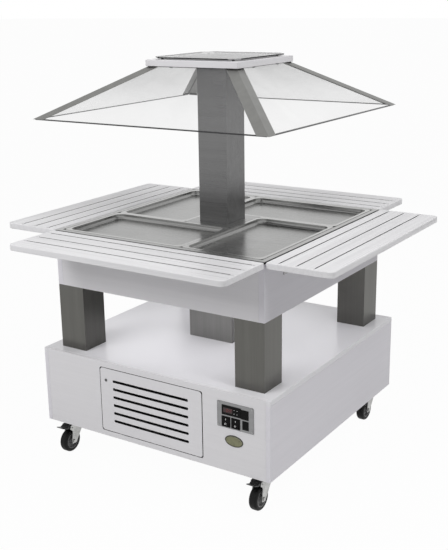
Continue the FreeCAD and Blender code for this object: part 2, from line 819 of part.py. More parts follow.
def pan_support_cross():
    """Four bars under the pan seams with a square ring, and the cap plate round the column."""
    seam = "((pan_long - pan_short) / 2)"
    ring_out = f"({seam} + bar_width / 2)"
    ring_in = f"({seam} - bar_width / 2)"
    low = f"({LEDGE} - bar_height)"
    ring = square_block("ring_block", ring_out, low, LEDGE)
    reach = f"({WELL_HALF} - {ring_out})"
    bar_size = ("bar_width", reach, "bar_height")
    turned = (reach, "bar_width", "bar_height")
    bars = [
        box("bar_front", (ring_in, f"-{WELL_HALF}", low), bar_size),
        box("bar_right", (ring_out, ring_in, low), turned),
        box("bar_back", (f"-{ring_out}", ring_out, low), bar_size),
        box("bar_left", (f"-{WELL_HALF}", f"-{ring_out}", low), turned),
    ]
    ring_hole = square_block("ring_hole", ring_in, low, LEDGE)
    cross = cut("cross", fuse("cross_solid", ring, *bars), ring_hole)
    cap_half = "((pan_long - pan_short) / 2 - pan_gap / 2)"
    cap = square_block("cap_block", cap_half, LEDGE, "worktop_top")
    under = square_block("cap_hollow", f"({cap_half} - sheet)", LEDGE, "(worktop_top - sheet)")
    column_hole = square_block("cap_hole", "(column_side / 2 + 0.6)", LEDGE, "worktop_top")
    return group("cross_and_cap", cross, cut("cap", cap, under, column_hole))


def pan(quarter_turns):
    """Shallow 530 x 325 pan: turned-down rim, rounded corners and a dished floor."""
    name = f"pan_{quarter_turns}"
    body = new_body(name)
    left = "-pan_long / 2"
    low = "-pan_short / 2"
    rim = sketch_on(body, name + "_rim", lift="-recess_depth")
    rounded_rectangle(rim, left, low, "pan_long", "pan_short", "16")
    pad(body, rim, "recess_depth")
    tray = sketch_on(body, name + "_tray", lift="-pan_depth")
    inset_rectangle(tray, "pan_rim - pan_sheet", "30")
    pad(body, tray, "pan_depth")
    dish = sketch_on(body, name + "_dish")
    inset_rectangle(dish, "pan_rim", "29")
    pocket(body, dish, "pan_depth - pan_sheet")
    floor_level = number("-pan_depth")
    round_edges(body, "13", flat_at(floor_level + number("pan_sheet")))
    round_edges(body, "14", flat_at(floor_level))
    under_rim = sketch_on(body, name + "_under_rim", lift="-recess_depth")
    inset_rectangle(under_rim, "pan_sheet", "15")
    inset_rectangle(under_rim, "pan_rim - pan_sheet", "30")
    pocket(body, under_rim, "recess_depth - pan_sheet", backwards=True)
    near = "((pan_short + pan_gap) / 2)"
    far = "((pan_long + pan_gap) / 2)"
    centres = [(f"-{near}", f"-{far}"), (far, f"-{near}"), (near, far), (f"-{far}", near)]
    turn = FreeCAD.Rotation(Z, 90 * quarter_turns)
    return place(body, (*centres[quarter_turns], "worktop_top"), turn)


def inset_rectangle(sketch, inset, radius):
    """A rounded rectangle inside the outline of a pan, centred on it."""
    width = f"pan_long - 2 * ({inset})"
    height = f"pan_short - 2 * ({inset})"
    rounded_rectangle(sketch, f"{inset} - pan_long / 2", f"{inset} - pan_short / 2", width, height, radius)


# ------------------------------------------------------------------ column and canopy

def column():
    """Square tube on a foot plate, closed at the top by a plate that carries the slab."""
    start = f"({DECK_TOP} + 8)"
    tube = square_tube("column_tube", "0", "0", "column_side", "column_wall", start, "slab_bottom")
    foot = square_block("column_foot", "75", DECK_TOP, start)
    head = square_block("column_head", "(column_side / 2 - column_wall)", "(slab_bottom - 5)", "slab_bottom")
    cable_way = rod("cable_way", ("0", "0", DECK_TOP), "8", "12")
    return cut("column_post", fuse("column_solid", tube, foot, head), cable_way)


def plain_board(name, side, low, thickness, corner):
    """A square board with rounded top and bottom edges."""
    body = new_body(name)
    face = sketch_on(body, name + "_face", lift=low)
    rectangle(face, f"-{side} / 2", f"-{side} / 2", side, side)
    pad(body, face, thickness)
    if corner:
        round_edges(body, corner, lambda bounds: bounds.ZLength < 0.01)
    return body


def canopy_slab():
    return plain_board("slab", "slab_side", "slab_bottom", "slab_board", "2")


def canopy_pane(quarter_turns):
    """Sloping trapezoid pane, set back from the ridges so that its neighbours clear it."""
    name = f"pane_{quarter_turns}"
    run = "(canopy_side - canopy_top_side) / 2"
    rise = "(slab_bottom - canopy_bottom)"
    slope = f"sqrt(({run}) ^ 2 + {rise} ^ 2)"
    body = new_body(name)
    face = sketch_on(body, name + "_face")
    foot = "(canopy_side / 2 - 4)"
    top = "(canopy_top_side / 2 - 4)"
    outline(face, [(f"-{foot}", "0"), (foot, "0"), (top, f"{slope} - 0.5"), (f"-{top}", f"{slope} - 0.5")])
    feature = pad(body, face, "pane_wall")
    feature.Reversed = True
    pitch = math.degrees(math.atan2(number(rise), number(run)))
    tilt = FreeCAD.Rotation(X, pitch)
    turn = FreeCAD.Rotation(Z, 90 * quarter_turns)
    half = "canopy_side / 2"
    feet = [("0", f"-{half}"), (half, "0"), ("0", half), (f"-{half}", "0")]
    return place(body, (*feet[quarter_turns], "canopy_bottom"), turn * tilt)


def canopy_panes():
    return group("panes", *[canopy_pane(i) for i in range(4)])


def frustum(name, low, high, low_half, high_half):
    """A pyramid stump about the Z axis."""
    wedge = doc.addObject("Part::Wedge", name)
    for prop, text in (
        ("Xmin", f"-{low_half}"),
        ("Xmax", low_half),
        ("Zmin", f"-{low_half}"),
        ("Zmax", low_half),
        ("X2min", f"-{high_half}"),
        ("X2max", high_half),
        ("Z2min", f"-{high_half}"),
        ("Z2max", high_half),
        ("Ymin", low),
        ("Ymax", high),
    ):
        wedge.setExpression(prop, formula(text))
    wedge.Placement = FreeCAD.Placement(FreeCAD.Vector(), FreeCAD.Rotation(X, 90))
    return wedge


def corner_profiles():
    """Four V profiles: the strips of a thin pyramid shell that lie along its ridges."""
    run = number("(canopy_side - canopy_top_side) / 2")
    rise = number("slab_bottom - canopy_bottom")
    pitch = math.atan2(rise, run)
    shift = f"profile_wall / {math.sin(pitch):.6f}"
    shell = cut(
        "roof_shell",
        frustum("roof_out", "canopy_bottom", "slab_bottom", f"(canopy_side / 2 + {shift})", f"(canopy_top_side / 2 + {shift})"),
        frustum("roof_in", "canopy_bottom", "slab_bottom", "(canopy_side / 2)", "(canopy_top_side / 2)"),
    )
    strips = []
    for i, angle in enumerate((45, 135)):
        strip = doc.addObject("Part::Box", f"ridge_strip_{i}")
        strip.setExpression("Length", formula("canopy_side * 2"))
        strip.setExpression("Width", formula(PROFILE_PLAN_WIDTH))
        strip.setExpression("Height", formula("slab_bottom - canopy_bottom"))
        turn = FreeCAD.Rotation(Z, angle)
        corner = FreeCAD.Vector(-number("canopy_side"), -number(PROFILE_PLAN_WIDTH) / 2, 0)
        strip.Placement = FreeCAD.Placement(turn.multVec(corner), turn)
        strip.setExpression("Placement.Base.z", formula("canopy_bottom"))
        strips.append(strip)
    profiles = doc.addObject("Part::MultiCommon", "ridge_profiles")
    profiles.Shapes = [shell, fuse("ridge_strips", *strips)]
    return profiles


PROFILE_PLAN_WIDTH = "62"


def cover_plate():
    """Clear square plate over the slab, with its four corners cut off."""
    body = plain_board("cover", "cover_side", f"{SLAB_TOP} + 5", "cover_wall", None)
    feature = body.newObject("PartDesign::Chamfer", "cover_corners")
    pad_feature = body.Group[-2]
    upright = [
        f"Edge{i + 1}"
        for i, edge in enumerate(pad_feature.Shape.Edges)
        if edge.BoundBox.ZLength > 1
    ]
    feature.Base = (pad_feature, upright)
    feature.setExpression("Size", formula("cover_corner"))
    doc.recompute()
    return body


def canopy_fixings():
    """Stand-offs between slab and cover plate, and small stops over the panes' top edges."""
    pieces = []
    for i, (sx, sy) in enumerate(((-1, -1), (1, -1), (1, 1), (-1, 1))):
        pieces.append(rod(f"stand_off_{i}", (f"{sx} * 152", f"{sy} * 152", SLAB_TOP), "5", "5"))
    edge = "(slab_side / 2 - 2.5)"
    for i, sign in enumerate((-1, 1)):
        for j, along in enumerate((-84, 84)):
            low = "slab_bottom - 3"
            across = box(f"stop_x_{i}{j}", (f"{along} - 6", f"{sign} * {edge} - 2", low), ("12", "4", "3"))
            beside = box(f"stop_y_{i}{j}", (f"{sign} * {edge} - 2", f"{along} - 6", low), ("4", "12", "3"))
            pieces += [across, beside]
    return group("fixings", *pieces)


# ------------------------------------------------------------------ tray shelves

def shelf(quarter_turns):
    """Slatted board outside one side of the upper box: three long slots make four slats."""
    name = f"shelf_{quarter_turns}"
    body = new_body(name)
    face = sketch_on(body, name + "_face", lift=SHELF_LOW)
    outer = f"(-{SHELF_IN} - shelf_depth)"
    half = "shelf_length / 2"
    rectangle(face, f"-{half}", outer, "shelf_length", "shelf_depth")
    pad(body, face, "shelf_board")
    front = number(outer)
    back = number(f"-{SHELF_IN}")
    upright = lambda bounds: bounds.ZLength > 1
    round_edges(body, "shelf_corner", lambda bounds: upright(bounds) and abs(bounds.YMin - front) < 1)
    round_edges(body, "4", lambda bounds: upright(bounds) and abs(bounds.YMin - back) < 1)
    round_edges(body, "3", lambda bounds: bounds.ZLength < 0.01)
    slot = sketch_on(body, name + "_slot", lift=SHELF_LOW)
    nearest = f"(-{SHELF_IN} - shelf_slot_first - 2 * shelf_slot_pitch - shelf_slot / 2)"
    rounded_rectangle(
        slot,
        f"-{half} + shelf_slot_end",
        nearest,
        "shelf_length - 2 * shelf_slot_end",
        "shelf_slot",
        "2",
    )
    first_slot = pocket(body, slot)
    repeat(body, first_slot, slot, "V_Axis", "3", "2 * shelf_slot_pitch")
    return spin(body, quarter_turns)


def shelf_hinge_straps(quarter_turns):
    """Two moving leaves under one shelf, each with its middle knuckle and two screw heads."""
    pieces = []
    for side in (-1, 1):
        name = f"strap_{quarter_turns}_{side + 1}"
        centre = f"{side} * hinge_x"
        leaf_low = f"({SHELF_LOW} - leaf)"
        plate = box(
            name + "_leaf",
            (f"{centre} - hinge_width / 2", f"{HINGE_Y} - 64", leaf_low),
            ("hinge_width", "58", "leaf"),
        )
        tongue = box(name + "_tongue", (f"{centre} - 10", f"{HINGE_Y} - 6", leaf_low), ("20", "6", "leaf"))
        knuckle = rod(name + "_knuckle", (f"{centre} - 10", HINGE_Y, HINGE_UP), "20", "knuckle_radius", "x")
        bore_radius = "hinge_pin_radius + running_gap"
        bore = rod(name + "_bore", (f"{centre} - 10", HINGE_Y, HINGE_UP), "20", bore_radius, "x")
        pieces.append(cut(name, fuse(name + "_solid", plate, tongue, knuckle), bore))
        for i, across in enumerate((-15, 15)):
            head_at = (f"{centre} + {across}", f"{HINGE_Y} - 46", f"{leaf_low} - 1.6")
            pieces.append(rod(f"{name}_head_{i}", head_at, "1.6", "3.5"))
    return spin(group(f"straps_{quarter_turns}", *pieces), quarter_turns)


# Screws of a fixed leaf: offsets across from its middle and below the hinge axis.
LEAF_SCREWS = ((-15, 18), (15, 18), (0, 36))


def hinge_bracket(quarter_turns, side):
    """A fixed leaf on the upper box with its two knuckles, and the hinge pin through them."""
    name = f"bracket_{quarter_turns}_{side + 1}"
    centre = f"{side} * hinge_x"
    wall = f"-{APRON_HALF}"
    plate = box(
        name + "_plate",
        (f"{centre} - hinge_width / 2", f"{wall} - leaf", f"{HINGE_UP} - 46"),
        ("hinge_width", "leaf", "48"),
    )
    solids = [plate]
    bores = []
    for i, start in enumerate((f"{centre} - 24.5", f"{centre} + 10.5")):
        web_low = (start, HINGE_Y, f"{HINGE_UP} - leaf / 2")
        solids.append(box(f"{name}_web_{i}", web_low, ("14", "hinge_offset", "leaf")))
        solids.append(rod(f"{name}_knuckle_{i}", (start, HINGE_Y, HINGE_UP), "14", "knuckle_radius", "x"))
        bores.append(rod(f"{name}_bore_{i}", (start, HINGE_Y, HINGE_UP), "14", "hinge_pin_radius", "x"))
    for i, (across, below) in enumerate(LEAF_SCREWS):
        hole_at = (f"{centre} + {across}", f"{wall} - leaf", f"{HINGE_UP} - {below}")
        bores.append(rod(f"{name}_screw_hole_{i}", hole_at, "leaf", "1.85", "y"))
    bracket = cut(name, fuse(name + "_solid", *solids), *bores)
    pin = rod(name + "_pin", (f"{centre} - 24.5", HINGE_Y, HINGE_UP), "49", "hinge_pin_radius", "x")
    return group(name + "_set", bracket, pin)


def shelf_hinge_brackets():
    sets = [
        spin(hinge_bracket(quarter_turns, side), quarter_turns)
        for quarter_turns in range(4)
        for side in (-1, 1)
    ]
    return group("brackets", *sets)


def fixing_screws():
    """Screws of the control plate and of the fixed hinge leaves: a head and a shank each."""
    pieces = []
    for x_sign in (-1, 1):
        for up_sign in (-1, 1):
            at = (screw_x(x_sign), f"{PLATE_FRONT} - 1.2", screw_up(up_sign))
            name = f"plate_screw_{x_sign + 1}{up_sign + 1}"
            head = rod(name + "_head", at, "1.2", "3", "y")
            shank = rod(name + "_shank", at, "14", "1.5", "y")
            pieces.append(fuse(name, head, shank))
    for quarter_turns in range(4):
        for side in (-1, 1):
            for i, (across, below) in enumerate(LEAF_SCREWS):
                name = f"leaf_screw_{quarter_turns}_{side + 1}_{i}"
                at = (
                    f"{side} * hinge_x + {across}",
                    f"-{APRON_HALF} - leaf - 1.6",
                    f"{HINGE_UP} - {below}",
                )
                head = rod(name + "_head", at, "1.6", "3.5", "y")
                shank = rod(name + "_shank", at, "18", "1.75", "y")
                pieces.append(spin(fuse(name, head, shank), quarter_turns))
    return group("screws", *pieces)


# ------------------------------------------------------------------ castors

CASTORS = {
    "front_left": (-1, -1),
    "front_right": (1, -1),
    "back_right": (1, 1),
    "back_left": (-1, 1),
}
RACE_TOP = "(base_bottom - 10)"
CROWN_TOP = "(base_bottom - 21)"
CROWN_LOW = "(base_bottom - 25)"
FORK_WIDTH = "(wheel_width + 12)"


def castor_plates():
    """Bolted top plates, each with its race cup, riveted king pin and four bolt heads."""
    pieces = []
    for name, (sx, sy) in CASTORS.items():
        x = f"{sx} * {CASTOR}"
        y = f"{sy} * {CASTOR}"
        plate = box(f"{name}_plate", (f"{x} - 46", f"{y} - 36", "base_bottom - 3"), ("92", "72", "3"))
        cup = rod(f"{name}_cup", (x, y, RACE_TOP), "7", "24")
        king_start = f"({CROWN_LOW} - 6)"
        king = rod(f"{name}_king", (x, y, king_start), f"base_bottom - 3 - {king_start}", "king_radius")
        rivet = rod(f"{name}_rivet", (x, y, king_start), "5.7", "8")
        pieces.append(fuse(f"{name}_mount", plate, cup, king, rivet))
        for i, (bx, by) in enumerate(((-37, -27), (37, -27), (37, 27), (-37, 27))):
            pieces.append(rod(f"{name}_bolt_{i}", (f"{x} + {bx}", f"{y} + {by}", "base_bottom - 8"), "5", "5.5"))
    return group("plates", *pieces)


def castor_fork(name):
    """Pressed fork: crown and two side plates that trail to the axle, with race and axle."""
    sx, sy = CASTORS[name]
    body = new_body(f"{name}_fork_body")
    profile = sketch_on(body, f"{name}_profile", "YZ_Plane")
    outline(
        profile,
        [
            ("19", CROWN_TOP),
            ("19", "88"),
            ("-castor_trail + 12", "36"),
            ("-castor_trail - 10", "36"),
            ("-castor_trail - 12", "50"),
            ("-36", "88"),
            ("-47", "98"),
            ("-47", CROWN_TOP),
        ],
    )
    pad(body, profile, FORK_WIDTH, both_ways=True)
    throat = sketch_on(body, f"{name}_throat", "YZ_Plane")
    outline(
        throat,
        [
            ("-90", "0"),
            ("60", "0"),
            ("60", CROWN_LOW),
            ("-28", CROWN_LOW),
            ("-28", f"{CROWN_TOP} + 5"),
            ("-90", f"{CROWN_TOP} + 5"),
        ],
    )
    pocket(body, throat, f"{FORK_WIDTH} - 6", both_ways=True)
    race = sketch_on(body, f"{name}_race", lift=CROWN_TOP)
    circle(race, "0", "0", "22")
    pad(body, race, f"{RACE_TOP} - {CROWN_TOP} - 0.3")
    bore = sketch_on(body, f"{name}_bore")
    circle(bore, "0", "0", "king_radius + running_gap")
    pocket(body, bore)
    axle_hole = sketch_on(body, f"{name}_axle_hole", "YZ_Plane")
    circle(axle_hole, "-castor_trail", "wheel_radius", "axle_radius")
    pocket(body, axle_hole)
    if sy < 0:
        pedal_hole = sketch_on(body, f"{name}_pedal_hole", "YZ_Plane")
        circle(pedal_hole, PEDAL_Y, PEDAL_UP, "2.5 + running_gap")
        pocket(body, pedal_hole)
    reach = f"({FORK_WIDTH} / 2 + 4)"
    axle = rod(f"{name}_axle", (f"-{reach}", "-castor_trail", "wheel_radius"), f"2 * {reach}", "axle_radius", "x")
    nuts = [
        cut(
            f"{name}_nut_{i}",
            rod(f"{name}_nut_out_{i}", (start, "-castor_trail", "wheel_radius"), "4", "7", "x"),
            rod(f"{name}_nut_bore_{i}", (start, "-castor_trail", "wheel_radius"), "4", "axle_radius", "x"),
        )
        for i, start in enumerate((f"-{reach}", f"{FORK_WIDTH} / 2"))
    ]
    return place(group(f"{name}_fork", body, axle, *nuts), (f"{sx} * {CASTOR}", f"{sy} * {CASTOR}", "0"))


def castor_wheel(name):
    """Tyre with rounded shoulders on a webbed hub, about the trailing axle."""
    sx, sy = CASTORS[name]
    centre = ("-castor_trail", "wheel_radius")
    body = new_body(f"{name}_tyre")
    tread = sketch_on(body, f"{name}_tread", "YZ_Plane")
    circle(tread, *centre, "wheel_radius")
    pad(body, tread, "wheel_width", both_ways=True)
    half = number("wheel_width / 2")
    round_edges(body, "9", lambda bounds: abs(abs(bounds.XMin) - half) < 0.01 and bounds.XLength < 0.01)
    seat = sketch_on(body, f"{name}_seat", "YZ_Plane")
    circle(seat, *centre, "32")
    pocket(body, seat)

    def disc(part, start, length, radius):
        return rod(f"{name}_{part}", (start, *centre), length, radius, "x")

    hollows = [
        cut(f"{name}_hollow_{i}", disc(f"hollow_out_{i}", start, "9", "28"), disc(f"boss_{i}", start, "9", "12"))
        for i, start in enumerate(("-wheel_width / 2 + 1", "wheel_width / 2 - 10"))
    ]
    rim = disc("rim", "-wheel_width / 2 + 1", "wheel_width - 2", "32")
    boss = disc("hub_boss", "-wheel_width / 2 - 2", "wheel_width + 4", "10")
    bore = disc("hub_bore", "-wheel_width / 2 - 2", "wheel_width + 4", "axle_radius + running_gap")
    hub = cut(f"{name}_hub", fuse(f"{name}_hub_solid", cut(f"{name}_rim_cut", rim, *hollows), boss), bore)
    return place(group(f"{name}_wheel", body, hub), (f"{sx} * {CASTOR}", f"{sy} * {CASTOR}", "0"))


PEDAL_Y = "-39"
PEDAL_UP = "(base_bottom - 30)"


def brake_pedal(name):
    """Bent lever between the fork plates, on a pin of its own, that reaches past the wheel."""
    sx, sy = CASTORS[name]
    body = new_body(f"{name}_pedal_body")
    side = sketch_on(body, f"{name}_pedal_side", "YZ_Plane")
    rise = [(-33, -4), (-33, 8), (-42, 12), (-62, 4), (-86, 13), (-86, 10.5), (-62, 0), (-48, -1), (-42, -5)]
    outline(side, [(f"{y}", f"{PEDAL_UP} + {up}") for y, up in rise])
    pad(body, side, f"{FORK_WIDTH} - 8", both_ways=True)
    round_edges(body, "5", lambda bounds: bounds.YMax < -85 and bounds.XLength < 0.01 and bounds.ZLength < 4)
    pivot = sketch_on(body, f"{name}_pedal_pin", "YZ_Plane")
    circle(pivot, PEDAL_Y, PEDAL_UP, "2.5")
    pad(body, pivot, f"{FORK_WIDTH} + 1", both_ways=True)
    return place(body, (f"{sx} * {CASTOR}", f"{sy} * {CASTOR}", "0"))


# ------------------------------------------------------------------ cooling

FLOOR_UP = "(base_bottom + base_wall)"
COMPRESSOR = (-250, 140)
COIL_UP = "(well_floor - sheet - pipe_radius)"


def compressor():
    """Hermetic compressor: domed can on a base plate with four rubber feet."""
    x, y = COMPRESSOR
    body = new_body("can")
    ring = sketch_on(body, "can_ring", lift=f"{FLOOR_UP} + 14")
    circle(ring, "0", "0", "72")
    pad(body, ring, "165")
    round_edges(body, "38", lambda bounds: bounds.ZLength < 0.01)
    place(body, (f"{x}", f"{y}", "0"))
    plate = box("can_plate", (f"{x} - 95", f"{y} - 60", f"{FLOOR_UP} + 10"), ("190", "120", "4"))
    feet = [
        rod(f"can_foot_{i}", (f"{x} + {fx}", f"{y} + {fy}", FLOOR_UP), "10", "11")
        for i, (fx, fy) in enumerate(((-80, -45), (80, -45), (80, 45), (-80, 45)))
    ]
    return group("hermetic_compressor", body, plate, *feet)


FAN_UP = 272
COIL_BACK = -404


def condenser_unit():
    """Finned coil behind the door, its shroud, and the fan motor on three struts."""
    low = number(FLOOR_UP)
    pieces = []
    for i, x in enumerate((-152, 150)):
        pieces.append(box(f"coil_end_{i}", (f"{x}", "-448", FLOOR_UP), ("2", "44", "232")))
    for i in range(19):
        x = -135 + 15 * i
        pieces.append(box(f"coil_fin_{i}", (f"{x} - 0.4", "-448", f"{low + 6}"), ("0.8", "44", "220")))
    shroud = box("shroud_plate", ("-152", f"{COIL_BACK}", FLOOR_UP), ("304", "2", "232"))
    mouth = rod("shroud_mouth", ("0", f"{COIL_BACK}", f"{FAN_UP}"), "2", "104", "y")
    pieces.append(cut("shroud", shroud, mouth))
    motor = rod("motor_case", ("0", f"{COIL_BACK} + 40", f"{FAN_UP}"), "52", "36", "y")
    shaft = rod("motor_shaft", ("0", f"{COIL_BACK} + 8", f"{FAN_UP}"), "40", "4", "y")
    struts = [
        box("strut_left", ("-128", f"{COIL_BACK} + 52", f"{FAN_UP} - 6"), ("100", "3", "12")),
        box("strut_right", ("28", f"{COIL_BACK} + 52", f"{FAN_UP} - 6"), ("100", "3", "12")),
        box("post_left", ("-131", f"{COIL_BACK} + 2", f"{FAN_UP} - 6"), ("3", "53", "12")),
        box("post_right", ("128", f"{COIL_BACK} + 2", f"{FAN_UP} - 6"), ("3", "53", "12")),
    ]
    pieces.append(fuse("motor", motor, shaft, *struts))
    return group("condenser", *pieces)


def condenser_fan():
    """Five pitched blades on a hub that turns on the motor shaft."""
    start = number(f"{COIL_BACK} + 9")
    hub = rod("fan_hub", ("0", f"{start}", f"{FAN_UP}"), "28", "22", "y")
    blades = []
    for i in range(5):
        blade = doc.addObject("Part::Box", f"fan_blade_{i}")
        blade.Length = 44
        blade.Width = 1.6
        blade.Height = 80
        lean = FreeCAD.Placement(FreeCAD.Vector(0, start + 14, FAN_UP), FreeCAD.Rotation(Y, 72 * i))
        pitch = FreeCAD.Placement(FreeCAD.Vector(0, 0, 18), FreeCAD.Rotation(Z, 24))
        centre = FreeCAD.Placement(FreeCAD.Vector(-22, -0.8, 0), FreeCAD.Rotation())
        blade.Placement = lean * pitch * centre
        blades.append(blade)
    bore = rod("fan_bore", ("0", f"{start}", f"{FAN_UP}"), "28", "4 + running_gap", "y")
    return cut("fan", fuse("fan_solid", hub, *blades), bore)


def refrigerant_circuit():
    """Suction pipe with the serpentine under the tub, and the short discharge pipe."""
    coil_up = number(COIL_UP)
    riser = number("riser_x")
    radius = number("pipe_radius")
    x, y = COMPRESSOR
    can_top = number(FLOOR_UP) + 14 + 165
    serpentine = [
        FreeCAD.Vector(x + 30, y, can_top),
        FreeCAD.Vector(x + 30, y, can_top + 34),
        FreeCAD.Vector(-riser, y, can_top + 34),
        FreeCAD.Vector(-riser, 30, can_top + 34),
        FreeCAD.Vector(-riser, 30, coil_up),
        FreeCAD.Vector(-390, 30, coil_up),
        FreeCAD.Vector(-390, -385, coil_up),
        FreeCAD.Vector(385, -385, coil_up),
        FreeCAD.Vector(385, -320, coil_up),
        FreeCAD.Vector(-330, -320, coil_up),
        FreeCAD.Vector(-330, -255, coil_up),
        FreeCAD.Vector(385, -255, coil_up),
        FreeCAD.Vector(385, -190, coil_up),
        FreeCAD.Vector(-330, -190, coil_up),
        FreeCAD.Vector(-330, -125, coil_up),
        FreeCAD.Vector(riser, -125, coil_up),
        FreeCAD.Vector(riser, -riser, coil_up),
        FreeCAD.Vector(riser, -riser, 210),
        FreeCAD.Vector(riser, -350, 210),
        FreeCAD.Vector(175, -350, 210),
        FreeCAD.Vector(175, -426, 210),
        FreeCAD.Vector(152, -426, 210),
    ]
    discharge = [
        FreeCAD.Vector(x - 30, y, can_top),
        FreeCAD.Vector(x - 30, y, can_top + 24),
        FreeCAD.Vector(x - 30, -426, can_top + 24),
        FreeCAD.Vector(-152, -426, can_top + 24),
    ]
    bend = 11
    return group(
        "pipes",
        pipe("suction_pipe", serpentine, radius, bend),
        pipe("discharge_pipe", discharge, radius, bend),
    )


# ------------------------------------------------------------------ assembly

keep(base_floor_panel(), "base_floor_panel")
keep(base_top_panel(), "base_top_panel")
keep(base_front_panel(), "base_front_panel")
keep(base_back_panel(), "base_back_panel")
keep(base_side_panels(), "base_side_panels")
keep(door_panel(), "door_panel")
keep(door_pins(), "door_pins")
keep(door_latch(), "door_latch")
keep(control_bezel(), "control_bezel")
keep(control_modules(), "control_modules")
for index in range(len(KEYS)):
    keep(thermostat_key(index), f"thermostat_key_{index + 1}")
for rocker_name in ROCKERS:
    keep(rocker(rocker_name), f"rocker_{rocker_name}")
keep(power_inlet(), "power_inlet")
keep(legs(), "legs")
keep(service_duct(), "service_duct")
keep(apron_side_boards(), "apron_side_boards")
keep(apron_cross_boards(), "apron_cross_boards")
keep(deck_panel(), "deck_panel")
keep(well_tub(), "well_tub")
keep(well_insulation(), "well_insulation")
keep(pan_support_cross(), "pan_support_cross")
for index, corner in enumerate(("front_left", "front_right", "back_right", "back_left")):
    keep(pan(index), f"pan_{corner}")
keep(column(), "column")
keep(canopy_slab(), "canopy_slab")
keep(canopy_panes(), "canopy_panes")
keep(corner_profiles(), "corner_profiles")
keep(cover_plate(), "cover_plate")
keep(canopy_fixings(), "canopy_fixings")
for index, side_name in enumerate(("front", "right", "back", "left")):
    keep(shelf(index), f"shelf_{side_name}")
    keep(shelf_hinge_straps(index), f"shelf_hinge_straps_{side_name}")
keep(shelf_hinge_brackets(), "shelf_hinge_brackets")
keep(fixing_screws(), "fixing_screws")
keep(castor_plates(), "castor_plates")
for corner in CASTORS:
    keep(castor_fork(corner), f"castor_fork_{corner}")
    keep(castor_wheel(corner), f"castor_wheel_{corner}")
keep(brake_pedal("front_left"), "brake_pedal_front_left")
keep(brake_pedal("front_right"), "brake_pedal_front_right")
keep(compressor(), "compressor")
keep(condenser_unit(), "condenser_unit")
keep(condenser_fan(), "condenser_fan")
keep(refrigerant_circuit(), "refrigerant_circuit")

doc.recompute()
for thing in doc.Objects:
    if "Invalid" in thing.State or "Error" in thing.State:
        raise RuntimeError(f"{thing.Label}: {thing.State}")
for thing in sub_parts:
    if thing.Shape.isNull() or not thing.Shape.isValid():
        raise RuntimeError(f"{thing.Label}: its shape is not valid")

os.makedirs("parts", exist_ok=True)
for thing in sub_parts:
    thing.Shape.exportStep(f"parts/{thing.Label}.step")
    bounds = thing.Shape.BoundBox
    print(f"{thing.Label}: {len(thing.Shape.Solids)} solids,", [round(v) for v in (
        bounds.XMin, bounds.YMin, bounds.ZMin, bounds.XMax, bounds.YMax, bounds.ZMax)])
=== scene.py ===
import math

import bmesh
import bpy
from mathutils import Matrix, Vector


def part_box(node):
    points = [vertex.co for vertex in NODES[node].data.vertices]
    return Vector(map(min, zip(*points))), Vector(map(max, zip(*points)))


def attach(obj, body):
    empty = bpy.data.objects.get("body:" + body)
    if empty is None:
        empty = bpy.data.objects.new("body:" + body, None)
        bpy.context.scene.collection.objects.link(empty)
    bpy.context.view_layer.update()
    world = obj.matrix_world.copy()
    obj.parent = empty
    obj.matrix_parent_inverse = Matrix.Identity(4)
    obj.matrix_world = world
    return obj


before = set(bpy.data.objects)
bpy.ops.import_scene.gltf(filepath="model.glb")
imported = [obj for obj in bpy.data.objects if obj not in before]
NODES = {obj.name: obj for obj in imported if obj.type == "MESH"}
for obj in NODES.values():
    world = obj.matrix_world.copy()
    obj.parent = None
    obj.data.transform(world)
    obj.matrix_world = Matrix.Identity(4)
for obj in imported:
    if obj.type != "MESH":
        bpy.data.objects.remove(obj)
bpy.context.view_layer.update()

# Looks of the mobile salad bar, in metres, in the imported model's own frame:
# +X right along the front, +Y to the back, +Z up, origin on the floor at the centre.

SIDES = ("front", "right", "back", "left")
CORNERS = ("front_left", "front_right", "back_right", "back_left")
MM = 0.001


# ------------------------------------------------------------------ node helpers

